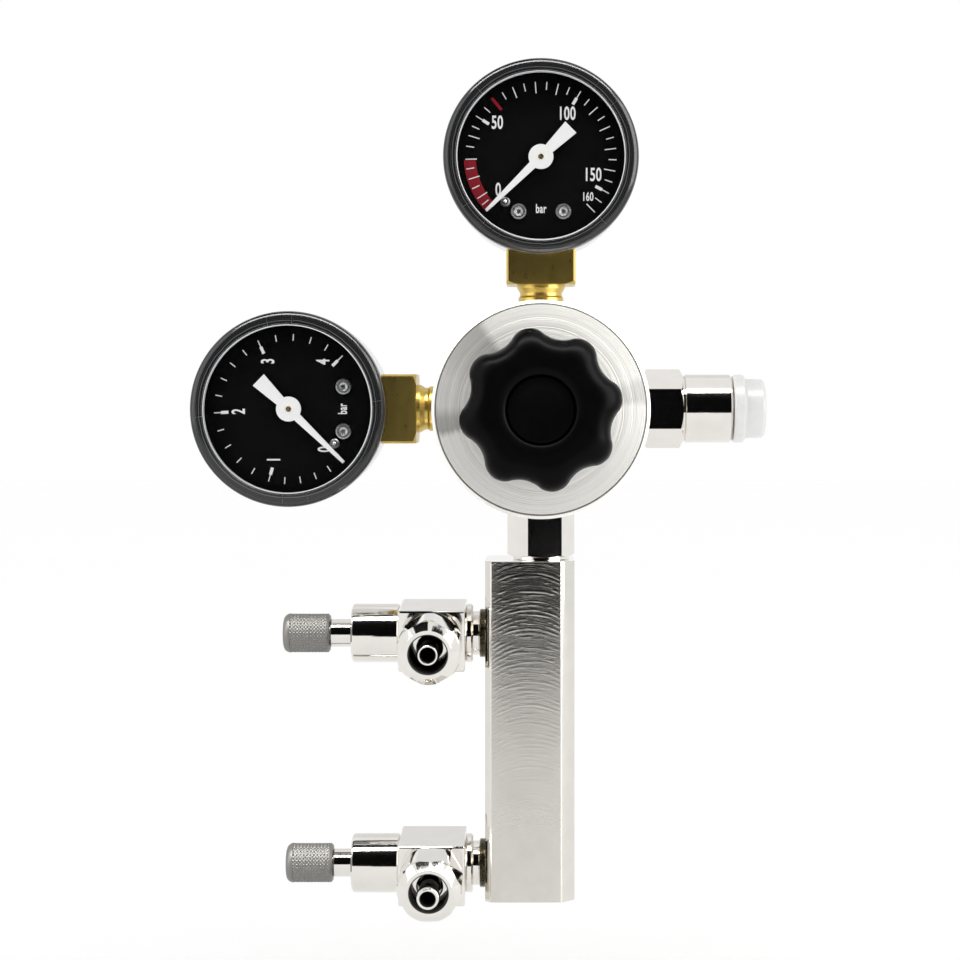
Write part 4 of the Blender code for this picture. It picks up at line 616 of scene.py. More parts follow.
def bore_shaded_nickel(colours, name, outlet, bore, wide_bore=0.0, narrow_from=0.0):
    """Bright plate round an outlet. In its bore, and in the wide bore behind the narrow one, it is painted
    near black, rough and not metallic, as painted shade.
    """
    finish = Finish(name)
    axis = outlet.to_3x3() @ UP
    offset = finish.node("ShaderNodeVectorMath", finish.place, outlet.translation, operation="SUBTRACT")
    across = finish.node("ShaderNodeVectorMath", offset, axis, operation="CROSS_PRODUCT")
    reach = finish.node("ShaderNodeVectorMath", across, operation="LENGTH", output="Value")
    along = finish.node("ShaderNodeVectorMath", offset, axis, operation="DOT_PRODUCT", output="Value")
    # Painted shade: inside the bores the plate gives way to near black, rough and not metallic.
    past = finish.between(reach, wide_bore, wide_bore + 0.0002)
    behind = past.larger(finish.between(along, narrow_from, narrow_from + 0.0002))
    plated = finish.between(reach, bore, bore + 0.0001) * behind
    clouds = finish.noise(0.004)
    bright = finish.mix(clouds, *tints(colours.nickel, 0.93, 1.05))
    return finish.surface(
        Base_Color=finish.mix(plated, (0.012, 0.011, 0.008), bright),
        Roughness=finish.spread(plated, 0.7, 0.07), Metallic=plated,
        Normal=finish.bump(finish.noise(0.0022, 2.0), 0.000012),
    )


def satin_brass(colours):
    """Extruded brass bar: long fine draw lines with duller patches."""
    finish = Finish("satin_brass")
    draw = finish.noise(0.0007, 4.0, 0.6, (1.0, 0.15, 0.15))
    patches = finish.noise(0.005, 3.0)
    return finish.surface(
        Base_Color=finish.mix(patches, *tints(colours.brass, 0.85, 1.12)),
        Roughness=finish.spread(draw, 0.24, 0.34), Metallic=1.0, Normal=finish.bump(draw, 0.000004),
    )


def gauge_case(colours, sizes):
    """Bright drawn cup, painted nearly black and not metallic on the step and neck that show through the
    lens, as painted shade.
    """
    finish = Finish("gauge_case")
    y = finish.parts()[1]
    # Painted shade: the step and neck under the lens are painted nearly black.
    front = finish.between(y * -1.0, sizes.case_shoulder - 0.0006, sizes.case_shoulder - 0.0003)
    grain = finish.noise(0.0006, 3.0, 0.6, (1.0, 6.0, 1.0))
    return finish.surface(
        Base_Color=finish.mix(front, colours.case, (0.012, 0.012, 0.013)),
        Roughness=finish.spread(grain, 0.1, 0.22), Metallic=1.0 - front,
        Normal=finish.bump(grain, 0.000006),
    )


def moulded_black(colours):
    """Satin moulded plastic with a fine grain and worn, slightly brighter patches."""
    finish = Finish("moulded_black")
    grain = finish.noise(0.00018, 3.0)
    patches = finish.noise(0.004, 3.0)
    return finish.surface(
        Base_Color=finish.mix(patches, *tints(colours.black, 0.8, 1.5)),
        Roughness=finish.spread(patches, 0.3, 0.4), Normal=finish.bump(grain, 0.000008),
        Specular_IOR_Level=0.06,
    )


def clear_lens(name, centre, sizes):
    """Clear plastic with a gloss. A thin white painted highlight rings its window, and its rim is painted
    opaque and nearly black, a painted dark reflection, with grey painted highlight streaks across its front.
    """
    finish = Finish(name)
    x, y, z = finish.parts()
    radius = finish.distance(x, centre.x, z, centre.z)
    ring = sizes.lens_flat
    # Painted highlight: a thin white, opaque ring round the edge of the window.
    line = 1.0 - finish.between((radius - ring).absolute(), 0.00006, 0.00013)
    # Painted dark reflection: the rim outside the window is opaque and nearly black, with grey painted
    # highlight streaks on its front.
    rim = finish.between(radius, ring + 0.0002, ring + 0.0004)
    streaks = finish.between(finish.lines(radius + finish.noise(0.004, 2.0) * 0.0004, 0.0004, 3.0), 0.52, 0.7)
    in_front = finish.between(y * -1.0, sizes.lens_front - 0.0012, sizes.lens_front - 0.001)
    dark = finish.mix(streaks * in_front, (0.012, 0.012, 0.013), (0.16, 0.165, 0.17))
    finish.surface(
        Base_Color=finish.mix(rim, (0.95, 0.96, 0.97), dark), Roughness=finish.spread(rim, 0.03, 0.12),
        Metallic=1.0 - line.larger(rim),
    )
    clear = finish.node("ShaderNodeBsdfTransparent", (1.0, 1.0, 1.0))
    gloss = finish.node("ShaderNodeMath", finish.node("ShaderNodeFresnel", 1.3), 0.1, operation="MINIMUM")
    cover = gloss.larger(line * 0.9).larger(rim * 0.97)
    both = finish.node("ShaderNodeMixShader", cover, clear, Wire(finish, finish.shader.outputs[0]))
    finish.feed(finish.output.inputs["Surface"], both)
    return finish.material

SHELF = {}


def finish_for(name):
    """The shared material of this name. The first call makes them all."""
    if not SHELF:
        scene = bpy.context.scene
        colours, sizes, gauge = scene.finish_colours, scene.regulator_sizes, scene.gauge_sizes
        middle = body_centre(sizes)
        SHELF.update(
            polished=polished_nickel(colours),
            turned=turned_nickel_painted_sheen(
                colours, middle, sizes.rim + sizes.edge, sizes.radius - sizes.edge - sizes.edge_groove
            ),
            milled=milled_nickel(colours, middle.x + scene.manifold_sizes.offset, scene.manifold_sizes),
            knurled=grained(
                "knurled_nickel", (0.00035, 4.0, 0.65), *tints(colours.nickel, 0.2, 0.44),
                (0.38, 0.56), 0.00002, Metallic=1.0,
            ),
            brass=satin_brass(colours),
            works=grained(
                "works_brass", (0.0006, 3.0), *tints(colours.works, 0.88, 1.05),
                (0.2, 0.34), 0.000008, Metallic=1.0,
            ),
            steel=grained(
                "plain_steel", (0.0005, 3.0), *tints(colours.steel, 0.85, 1.1),
                (0.2, 0.38), 0.00001, Metallic=1.0,
            ),
            dark_ring=grained(
                "dark_ring", (0.0005, 3.0), (0.11, 0.1, 0.065), (0.26, 0.24, 0.18), (0.2, 0.35), 0.00001,
                Metallic=1.0,
            ),
            case=gauge_case(colours, gauge),
            black=moulded_black(colours),
            dial=grained(
                "dial_black", (0.0002, 2.0), *tints(colours.dial, 0.8, 1.2), 0.45, 0.000003,
                Specular_IOR_Level=0.1,
            ),
            marks=grained(
                "white_print", (0.0005, 3.0), *tints(colours.mark, 0.86, 1.0), 0.5, Specular_IOR_Level=0.15
            ),
            band=grained(
                "red_print", (0.0005, 3.0), *tints(colours.band, 0.86, 1.0), 0.5, Specular_IOR_Level=0.15
            ),
            pointer=grained(
                "enamel_white", (0.001, 3.0), *tints(colours.mark, 0.97, 1.03), 0.35
            ),
            plug=grained(
                "milky_plastic", (0.002, 3.0), *tints(colours.plug, 0.95, 1.05), (0.25, 0.4),
                0.00001, Subsurface_Weight=0.6, Subsurface_Scale=0.003, Subsurface_Radius=(1.0, 1.0, 1.0),
            ),
            rubber=grained(
                "soft_rubber", (0.0004, 3.0), *tints(colours.rubber, 0.8, 1.3), 0.7, 0.00001
            ),
        )
    return SHELF[name]


class REGULATOR_OT_body(bpy.types.Operator):
    """Build the turned body with its four spot faces, closed at the back by the poppet's plug"""

    bl_idname = "regulator.body"
    bl_label = "Body"

    def execute(self, context):
        sizes = context.scene.regulator_sizes
        front, back = sizes.split - 0.0003, -sizes.back
        radius, edge, plug, bore = sizes.radius, 0.001, 0.0042, 0.0031
        spigot, face, chamber, seat_top, seat_low = 0.0183, 0.0105, 0.0142, 0.0068, 0.0008
        shape = spun([
            (bore, seat_top), (chamber, seat_top), (chamber, face), (spigot - 0.0003, face),
            (spigot, face - 0.0003), (spigot, front), (radius, front), (radius, back + edge),
            (radius - edge, back), (plug + 0.0004, back), (plug, back + 0.0004), (plug, seat_low),
            (bore, seat_low),
        ], 160)
        moved(shape, body_station(sizes))
        mouth, port, spot = radius + 0.002, sizes.port_radius, sizes.port_face
        thread, thread_end, drill, drill_end = 0.005, spot - 0.0093, 0.0016, 0.0035
        cutters = []
        for direction in (RIGHT, UP, -RIGHT, -UP):
            seat = spun([
                (0, mouth), (port, mouth), (port, spot), (thread + 0.0003, spot), (thread, spot - 0.0003),
                (thread, thread_end), (drill, thread_end), (drill, drill_end), (0, drill_end),
            ], 64)
            cutters.append(moved(seat, station(body_centre(sizes), direction, FRONT)))
        place_piece(
            "turned_body", carved(shape, *cutters), Matrix(), "turned", "root",
            ["regulator_body"], 14,
        )
        return {"FINISHED"}


class REGULATOR_OT_bonnet(bpy.types.Operator):
    """Build the bonnet: a straight side, a chamfered rim and a shallow cone up to its boss"""

    bl_idname = "regulator.bonnet"
    bl_label = "Bonnet"

    def execute(self, context):
        sizes = context.scene.regulator_sizes
        rim, edge, radius, groove = sizes.rim, sizes.edge, sizes.radius, sizes.edge_groove
        hub, boss, split = sizes.hub, sizes.hub_radius, sizes.split
        hole, socket, clamp, chamber, roof = 0.0043, 0.0186, 0.0119, 0.0116, 0.0235
        shape = spun([
            (hole, hub), (boss - 0.0003, hub), (boss, hub - 0.0003), (boss + 0.0002, hub - 0.0003),
            (radius - edge - 2 * groove, rim + edge + groove), (radius - edge - groove, rim + edge - groove),
            (radius - edge, rim + edge), (radius, rim), (radius, split + 0.0002), (radius - 0.0002, split),
            (socket, split), (socket, clamp), (chamber, clamp), (chamber, roof), (hole, roof),
        ], 192)
        place_piece(
            "turned_bonnet", shape, body_station(sizes), "turned", "root",
            ["bonnet"], 14,
        )
        return {"FINISHED"}


def star_ring(shape, sizes, scale, swell, height, steps=256):
    """Adds one ring of the star knob: lobes and valleys that fade into a circle as swell goes to 0."""
    middle = (sizes.lobe_radius + sizes.valley_radius) / 2
    wave = (sizes.lobe_radius - sizes.valley_radius) / 2
    ring = bmesh.ops.create_circle(shape, segments=steps, radius=1.0)["verts"]
    for vert in ring:
        bearing = math.atan2(vert.co.x, vert.co.y) - sizes.first_lobe
        swing = math.cos(sizes.lobes * bearing)
        lobe = math.copysign(abs(swing) ** 0.8, swing)
        vert.co = vert.co.normalized() * scale * (middle + swell * wave * lobe)
        vert.co.z = height
    return [edge for edge in shape.edges if edge.verts[0] in ring and edge.verts[1] in ring]


class REGULATOR_OT_knob(bpy.types.Operator):
    """Build the moulded star knob and the cap in its middle"""

    bl_idname = "regulator.knob"
    bl_label = "Star knob"

    def execute(self, context):
        sizes = context.scene.knob_sizes
        place = body_station(context.scene.regulator_sizes)
        front = sizes.back + sizes.height
        shoulder = front - sizes.dome
        dish = front - sizes.dish_depth
        levels = [(0.955, 1.0, sizes.back), (0.985, 1.0, sizes.back + 0.0003), (1.0, 1.0, sizes.back + 0.001)]
        levels.append((1.0, 1.0, shoulder))
        for step in range(1, 13):
            bend = math.pi / 2 * step / 12
            width = 1 - 0.3 * (1 - math.cos(bend)) ** 1.2
            levels.append((width, max(0.0, math.cos(bend)) ** 0.7, shoulder + sizes.dome * math.sin(bend)))
        middle = (sizes.lobe_radius + sizes.valley_radius) / 2
        for wider, height in (
            (0.0021, front + 0.0001), (0.0006, front + 0.0001), (0.0001, front - 0.0002), (0, front - 0.0005),
            (0, dish),
        ):
            levels.append(((sizes.dish_radius + wider) / middle, 0.0, height))
        shape = bmesh.new()
        rings = [star_ring(shape, sizes, *level) for level in levels]
        for lower, upper in zip(rings, rings[1:]):
            bmesh.ops.bridge_loops(shape, edges=lower + upper)
        for ring in (rings[0], rings[-1]):
            bmesh.ops.contextual_create(shape, geom=ring)
        hub, wall, floor, open_end = 0.0062, 0.0112, sizes.back + 0.006, sizes.back - 0.001
        hollow = spun([(hub, floor), (wall, floor), (wall, open_end), (hub, open_end)], 96)
        bmesh.ops.recalc_face_normals(shape, faces=shape.faces[:])
        place_piece(
            "star_knob", carved(shape, hollow), place, "black", "adjuster",
            ["adjusting_knob"], 40,
        )
        rim, low = sizes.dish_radius - 0.0003, dish + 0.0003
        cap = spun([
            (0, low + 0.0008), (rim * 0.45, low + 0.00085), (rim * 0.7, low + 0.001),
            (rim - 0.0006, low + 0.0012), (rim - 0.0002, low + 0.00115), (rim, low + 0.0009), (rim, low),
            (0, low),
        ], 128)
        place_piece(
            "knob_badge", cap, place, "black", "adjuster", ["knob_cap"], 40
        )
        return {"FINISHED"}


class REGULATOR_OT_inlet(bpy.types.Operator):
    """Build the inlet's hexagon and barrel, and the milky plug in its mouth"""

    bl_idname = "regulator.inlet"
    bl_label = "Inlet"

    def execute(self, context):
        sizes = context.scene.regulator_sizes
        mouth = station((0, 0, 0), RIGHT, UP)
        seat = sizes.port_face + 0.0003 - sizes.axis_to_mouth
        end, barrel, bore, step, drill = -sizes.inlet_hex_end, sizes.inlet_barrel, 0.0047, 0.0039, 0.0019
        hexagon_part = lathe_hexagon(sizes.inlet_hex, 0.0, seat, end, 0.0012)
        barrel_part = spun([
            (bore, 0), (barrel - 0.0004, 0), (barrel, -0.0004), (barrel, end + 0.0006),
            (barrel - 0.0003, end + 0.0003), (barrel - 0.0003, end - 0.001), (bore, end - 0.001),
        ], 128)
        passage = spun([
            (0, 0.001), (bore, 0.001), (bore, -0.0085), (step, -0.0085), (step, -0.0105), (drill, -0.0105),
            (drill, seat - 0.001), (0, seat - 0.001),
        ], 64)
        shape = carved(merged(hexagon_part, barrel_part), passage)
        place_piece(
            "inlet_union", shape, mouth, "polished", "root",
            ["inlet_connector"], 14,
        )
        flange = 0.0003 + sizes.plug_flange
        head, radius, stud = flange + sizes.plug_head, sizes.plug_radius, -0.0055
        plug = spun([
            (0, head), (radius - 0.0012, head), (radius - 0.0004, head - 0.0002), (radius, head - 0.0007),
            (radius + 0.0001, flange + 0.0003), (radius + 0.0004, flange), (barrel - 0.0004, flange),
            (barrel, flange - 0.0004), (barrel, 0.0006), (barrel - 0.0003, 0.0003), (bore, 0.0003),
            (bore, stud), (0, stud),
        ], 128)
        place_piece(
            "thread_plug", plug, mouth, "plug", "inlet_plug",
            ["inlet_plug"], 30,
        )
        return {"FINISHED"}


class REGULATOR_OT_manifold(bpy.types.Operator):
    """Build the hexagon nipple and the milled bar under the body"""

    bl_idname = "regulator.manifold"
    bl_label = "Manifold"

    def execute(self, context):
        sizes, bar = context.scene.regulator_sizes, context.scene.manifold_sizes
        upright = station(body_centre(sizes), UP, RIGHT)
        low, top, collar, thread = sizes.nipple_low, sizes.nipple_top, sizes.nipple_collar, 0.0046
        nipple = merged(
            lathe_hexagon(sizes.nipple_hex, sizes.nipple_turn, low, top, 0.0006),
            spun([
                (0, top + 0.009), (thread, top + 0.009), (thread, low + 0.001), (collar, low + 0.001),
                (collar, low - 0.0005), (thread, low - 0.0005), (thread, low - 0.003), (0, low - 0.003),
            ], 64),
        )
        place_piece(
            "hexagon_nipple", nipple, upright, "polished", "root",
            ["outlet_nipple"], 14,
        )
        left, right = bar.offset - bar.width / 2, bar.offset + bar.width / 2
        front, back = -bar.depth / 2, bar.depth / 2
        small, wide = bar.left_edge, bar.right_edge
        outline = [
            (left + small, front), (right - wide, front), (right - wide * 0.66, front + wide * 0.28),
            (right, front + wide), (right, back - wide), (right - wide, back), (left + small, back),
            (left, back - small), (left, front + small),
        ]
        block = soften(prism(outline, bar.top - bar.length, bar.top), 0.00009, 2, 30)
        place_piece(
            "milled_bar", block, upright, "milled", "root",
            ["manifold_block"], 14,
        )
        return {"FINISHED"}


class Plan:
    """A gauge or a valve: its name, its sizes and its place."""

    def add(self, part, shape, surface, slot, replaced=None, sharp=32, place=None, body="root"):
        """Places one piece, named after what it belongs to."""
        replaces = [f"{self.name}_{replaced}"] if replaced else []
        place_piece(f"{self.name}_{part}", shape, place or self.place, surface, body, replaces, sharp)


class GaugePlan(Plan):
    """Where one gauge stands, how its dial reads and which way its marks are turned."""

    def __init__(self, context, name, pointer_body, place, across, zero, marks, numbers, catches):
        self.name = name
        self.pointer_body = pointer_body
        self.middle = Vector(place)
        self.place = station(place, FRONT, across)
        self.zero = math.radians(zero)
        self.marks = marks
        self.numbers = numbers
        self.catches = catches
        self.sizes = context.scene.gauge_sizes


def tank_scale():
    """Ticks every 5 bar: the bearing in degrees of each value."""
    marks = [225.5, 231, 237, 245.4, 253, 261, 268.5, 278.5, 286.8, 294.4]
    marks += [302.5 + 8.86 * step for step in range(10)]
    marks += [391.1 + 8.69 * step for step in range(10)]
    marks += [478.0, 486.8, 495.6]
    return {5 * step: bearing for step, bearing in enumerate(marks)}


def working_scale():
    """Ticks every fifth of a bar: the bearing in degrees of each value, counted in fifths."""
    majors = [224, 286, 357, 425.3, 495]
    marks = {20: majors[-1]}
    for bar, (low, high) in enumerate(zip(majors, majors[1:])):
        for fifth in range(5):
            marks[5 * bar + fifth] = low + (high - low) * fifth / 5
    return marks


def tick(bearing, inner, outer, width):
    """A radial mark as a flat outline."""
    turn = math.radians(bearing)
    across = Vector((math.cos(turn), -math.sin(turn))) * width / 2
    along = Vector((math.sin(turn), math.cos(turn)))
    return [
        tuple(along * inner - across), tuple(along * inner + across),
        tuple(along * outer + across), tuple(along * outer - across),
    ]


def arc_band(start, end, inner, outer):
    """A band between two radii and two bearings, as a flat outline."""
    count = max(2, round(abs(end - start) / 2))
    bearings = [math.radians(start + (end - start) * step / count) for step in range(count + 1)]
    ring = [(outer * math.sin(b), outer * math.cos(b)) for b in bearings]
    return ring + [(inner * math.sin(b), inner * math.cos(b)) for b in reversed(bearings)]


def add_words(shape, words, middle, size, low, high, stretch=0.62):
    """Adds plain characters, converted from a text object, to a print between two heights."""
    curve = bpy.data.curves.new("words", "FONT")
    curve.body = words
    curve.size = size
    curve.align_x, curve.align_y = "CENTER", "CENTER"
    curve.space_character = 1.06
    curve.offset = size * 0.02
    curve.extrude = (high - low) / 2
    thing = bpy.data.objects.new("words", curve)
    bpy.context.scene.collection.objects.link(thing)
    bpy.context.view_layer.update()
    mesh = bpy.data.meshes.new_from_object(thing.evaluated_get(bpy.context.evaluated_depsgraph_get()))
    mesh.transform(
        Matrix.Translation((*middle, (low + high) / 2)) @ Matrix.Diagonal((stretch, 1, 1, 1))
    )
    shape.from_mesh(mesh)
    bpy.data.objects.remove(thing, do_unlink=True)
    bpy.data.curves.remove(curve)
    bpy.data.meshes.remove(mesh)


def tank_marks():
    """White and red outlines of the tank gauge's scale."""
    white, red = [], []
    for value, bearing in tank_scale().items():
        if value in (0, 50, 100, 150):
            white += [tick(bearing, 0.0139, 0.0155, 0.0002), tick(bearing, 0.0124, 0.0139, 0.00062)]
        elif value == 60:
            red.append(tick(320.3, 0.0124, 0.0155, 0.0006))
        elif value == 160:
            white.append(tick(bearing, 0.0131, 0.0155, 0.0002))
        elif value % 10 == 0:
            white.append(tick(bearing, 0.0129, 0.0152, 0.0002))
        else:
            white.append(tick(bearing, 0.0136, 0.0152, 0.0002))
    red.append(arc_band(226.5, 268.0, 0.0131, 0.0155))
    return white, red


def working_marks():
    """White outlines of the working gauge's scale."""
    white = []
    for fifths, bearing in working_scale().items():
        if fifths % 5 == 0:
            white += [tick(bearing, 0.01375, 0.01515, 0.0002), tick(bearing, 0.01225, 0.01375, 0.00062)]
        else:
            white.append(tick(bearing, 0.01375, 0.0151, 0.0002))
    return white, []


def catch_marks(plan):
    """Thin ribs across the lens's rim, where its catches grip the case."""
    low, high = plan.sizes.lens_front - 0.0008, plan.sizes.lens_front - 0.00012
    return gathered(prism(tick(bearing, 0.0171, 0.0188, 0.00009), low, high) for bearing in plan.catches)


def build_case(plan):
    """The drawn cup and its clear push-fit lens with the marks of its catches."""
    sizes, wall, lip = plan.sizes, 0.0009, 0.0122
    radius, back, shoulder, neck = sizes.case_radius, -sizes.case_back, sizes.case_shoulder, sizes.neck_radius
    cup = spun([
        (0, back + wall), (radius - wall, back + wall), (radius - wall, shoulder - wall),
        (neck - wall, shoulder), (neck - wall, lip), (neck, lip), (neck, shoulder + 0.0001),
        (radius - 0.0003, shoulder),
        (radius, shoulder - 0.0004), (radius, back + 0.0016), (radius - 0.0005, back + 0.0005),
        (radius - 0.0016, back), (0, back),
    ], 192)
    socket_slot = prism(box_points(0, -radius, 0.0136, radius / 2), -0.0043, 0.0043)
    plan.add("cup", carved(cup, socket_slot), "case", "silver_case", "case", 28)
    face, ring, outer = sizes.lens_front, sizes.lens_flat, sizes.lens_radius
    foot, inner, thick = shoulder + 0.0003, neck + 0.0004, 0.0015
    lens = spun([
        (0, face), (ring, face), (ring + 0.00015, face - 0.00018), (outer - 0.0012, face - 0.00025),
        (outer - 0.0005, face - 0.0005), (outer - 0.0001, face - 0.001), (outer, face - 0.0017),
        (outer, foot), (inner, foot), (inner, face - thick), (0, face - thick),
    ], 192)
    plan.add("window", lens, clear_lens(f"{plan.name}_clear", plan.middle, sizes), "clear_lens", "lens", 45)
    plan.add("catches", catch_marks(plan), "steel", "steel")


def build_dial(plan):
    """The dial plate, its print, its two screws and the pin that the pointer rests on."""
    sizes = plan.sizes
    face = sizes.dial_face
    rim, under = sizes.dial_radius, face - 0.0004
    plate = spun([(0, face), (rim - 0.0001, face), (rim, face - 0.0001), (rim, under), (0, under)], 128)
    plan.add("plate", plate, "dial", "black_dial", "dial")
    stop, reach = plan.zero - math.radians(6.8), 0.0115
    spot = (reach * math.sin(stop), reach * math.cos(stop))
    pin = spun([
        (0, face + 0.0016), (0.0002, face + 0.00156), (0.00038, face + 0.0014), (0.00045, face + 0.0011),
        (0.00045, face + 0.0002), (0.0006, face + 0.0004), (0.00078, face + 0.00045),
        (0.00095, face + 0.0003), (0.001, face + 0.0001), (0.001, face), (0, face),
    ], 32)
    plan.add("stop_pin", pin, "steel", "steel", place=plan.place @ Matrix.Translation((*spot, 0)))
    white, red = plan.marks
    low, high = face - 0.00001, face + 2 * sizes.print_lift
    shape = gathered(prism(outline, low, high) for outline in white)
    for words, middle, size in plan.numbers:
        add_words(shape, words, middle, size, low, high)
    plan.add("scale", shape, "marks", "white_pointer")
    if red:
        high = face + sizes.print_lift
        plan.add("red_band", gathered(prism(outline, low, high) for outline in red), "band", "black_dial")
    for side, sign in (("left", -1), ("right", 1)):
        low = face + 0.00015
        head = spun([
            (0, low + 0.0001), (0.0004, low + 0.00012), (0.0005, low + 0.0004), (0.0008, low + 0.0005),
            (0.00095, low + 0.0003), (0.00125, low + 0.0003), (0.0013, low + 0.00045), (0.0015, low + 0.0004),
            (0.0016, low + 0.0002), (0.0016, low), (0, low),
        ], 48)
        place = plan.place @ Matrix.Translation((sign * 0.0045, -0.0109, 0))
        plan.add(f"screw_{side}", head, "steel", "steel", f"dial_screw_{side}", place=place)


def build_pointer(plan):
    """The white pointer: a round hub, a tapered needle and a broad tail."""
    sizes = plan.sizes
    low, thick = sizes.pointer_height, sizes.pointer_thickness
    hub = sizes.pointer_hub
    needle = [(-0.0009, 0), (0.0009, 0), (0.0003, sizes.pointer_length), (-0.0003, sizes.pointer_length)]
    tail = [(0.0008, 0), (-0.0008, 0), (-0.0016, -sizes.pointer_tail), (0.0016, -sizes.pointer_tail)]
    shape = merged(
        rod(hub, low, low + thick, 64),
        prism(needle, low, low + thick), prism(tail, low, low + thick),
    )
    hole = rod(0.00056, low - 0.001, low + 0.001, 24)
    place = plan.place @ Matrix.Rotation(-plan.zero, 4, "Z")
    plan.add("hand", carved(shape, hole), "pointer", "white_pointer", "pointer", 30, place, plan.pointer_body)


def build_socket(plan):
    """The brass socket: its square under the case and its neck in the body."""
    sizes = plan.sizes
    half = sizes.socket_square / 2
    foot = sizes.socket_end - sizes.reach
    saddle = sizes.case_radius + 0.0003
    top = -math.sqrt(saddle ** 2 - half ** 2) + 0.0003
    flat = half - 0.0004
    corners = [(-half, -flat), (-flat, -half), (flat, -half), (half, -flat)]
    outline = corners + [(-x, -y) for x, y in corners]
    upright = station((0, 0, 0), (0, 1, 0), RIGHT)
    square = moved(prism(outline, foot, top), upright)
    cup = rod(saddle, -half * 2, half * 2, 128)
    corner, head = half * 1.45, top + half
    turned = spun([(0, foot), (half * 1.22, foot), (corner, foot + 0.0009), (corner, head), (0, head)], 128)
    square = combined(carved(square, cup), [moved(turned, upright)], "INTERSECT")
    neck, end = sizes.neck, foot - 0.0135
    turned_neck = spun([
        (0, foot + 0.001), (neck + 0.0003, foot + 0.001), (neck + 0.0003, foot - 0.0006),
        (neck, foot - 0.0011), (neck - 0.0003, foot - 0.0016), (neck - 0.0003, foot - 0.0022),
        (neck, foot - 0.0026), (neck, end), (0, end),
    ], 96)
    moved(turned_neck, upright)
    holder = prism(box_points(0, -0.0132, 0.013, 0.0132), -0.004, 0.004)
    plan.add("brass", merged(square, turned_neck, holder), "brass", "brass", "socket", 14)


def gauge_plans(context):
    sizes = context.scene.gauge_sizes
    centre = body_centre(context.scene.regulator_sizes)
    top, left = centre + UP * sizes.reach, centre - RIGHT * sizes.reach
    tall, small = 0.0037, 0.0024
    tank_numbers = [
        ("50", (-0.0088, 0.0069), tall), ("100", (0.0052, 0.0087), tall), ("150", (0.0104, -0.0036), tall),
        ("0", (-0.0086, -0.0066), tall), ("160", (0.0094, -0.008), small), ("bar", (0.0, -0.0104), 0.0025),
    ]
    working_numbers = [
        ("3", (0.0096, 0.0042), tall), ("2", (-0.0005, 0.0101), tall), ("1", (-0.0102, 0.003), tall),
        ("4", (0.0095, -0.0069), tall), ("0", (-0.0081, -0.0072), tall), ("bar", (0.0, -0.0108), 0.0025),
    ]
    return [
        GaugePlan(
            context, "tank_gauge", "tank_pointer", top, RIGHT, 225.5, tank_marks(), tank_numbers,
            (38.5, 54.5, 136.5, 220.5, 236.5, 316.5),
        ),
        GaugePlan(
            context, "working_gauge", "working_pointer", left, UP, 224, working_marks(), working_numbers,
            (77, 93, 175, 257, 273, 355),
        ),
    ]


class REGULATOR_OT_gauges(bpy.types.Operator):
    """Build both gauges: case, lens, dial with its print, pointer and brass socket"""

    bl_idname = "regulator.gauges"
    bl_label = "Gauges"

    def execute(self, context):
        for plan in gauge_plans(context):
            build_case(plan)
            build_dial(plan)
            build_pointer(plan)
            build_socket(plan)
        return {"FINISHED"}


class ValvePlan(Plan):
    """Where one needle valve stands, which way its outlet points, and how far its nut and stem are out."""

    def __init__(self, context, short, height, tilt, nut_start, nut_turn, opening):
        bar = context.scene.manifold_sizes
        self.sizes = context.scene.valve_sizes
        self.name = f"{short}_valve"
        self.stem_body = f"{short}_stem"
        self.nut_body = f"{short}_nut"
        self.nut_start = nut_start
        self.nut_turn = math.radians(nut_turn)
        self.opening = opening
        face = body_centre(context.scene.regulator_sizes) + RIGHT * (bar.offset - bar.width / 2)
        forward = Vector((0, -math.cos(tilt), -math.sin(tilt)))
        self.place = station(face + UP * height, -RIGHT, forward)
        self.outlet = self.place @ station((0, 0, self.sizes.outlet), RIGHT, UP)


def ridged(radius, low, high, pitch, depth):
    """Profile points of a thread drawn as rings, from high to low."""
    points, height = [], high
    while height > low + pitch / 2:
        points += [(radius - depth, height), (radius, height - pitch / 2)]
        height -= pitch
    return points + [(radius - depth, low)]


def build_valve_body(plan):
    """The square body with its collar and shank, and the boss that carries the hose nozzle."""
    sizes = plan.sizes
    front, back = sizes.square_front, sizes.square_back
    outline = box_points((front - back) / 2, 0, front + back, sizes.square)
    square = soften(prism(outline, sizes.square_start, sizes.square_end), 0.00045, 3)
    collar, start, seat = sizes.collar, sizes.collar_start, sizes.square_start
    thread, relief, shank_end = 0.0047, 0.0045, -0.006
    shank = spun([
        (0, seat + 0.001), (collar - 0.0002, seat + 0.001), (collar - 0.0002, seat), (collar, seat - 0.0003),
        (collar, start + 0.0003), (collar - 0.0003, start), (thread, start), (relief, start - 0.0001),
        (relief, 0.0014), (thread, 0.0013), (relief, shank_end), (0, shank_end),
    ], 96)
    boss_end, tip, crest = sizes.boss_end, sizes.boss_end + 0.0077, 0.0003
    boss = spun(
        [(0, tip), (0.0042, tip)] + ridged(thread, boss_end, boss_end + 0.0074, 0.0007, crest)
        + [(sizes.boss, boss_end), (sizes.boss, 0.003), (0, 0.003)],
        96,
    )
    outlet = station((0, 0, sizes.outlet), RIGHT, UP)
    moved(boss, outlet)
    bore = moved(rod(0.0027, 0.007, 0.02, 48), outlet)
    chamber = rod(0.0049, 0.0072, 0.02, 48)
    plan.add("square", carved(merged(square, shank, boss), bore, chamber), "polished", "nickel", "body", 14)
    ring = spun([(0.0046, 0.0012)] + ridged(0.005, 0.0, 0.0012, 0.0003, 0.00015) + [(0.0046, 0)], 64)
    plan.add("washer", ring, "dark_ring", "steel", "port_ring", 26)


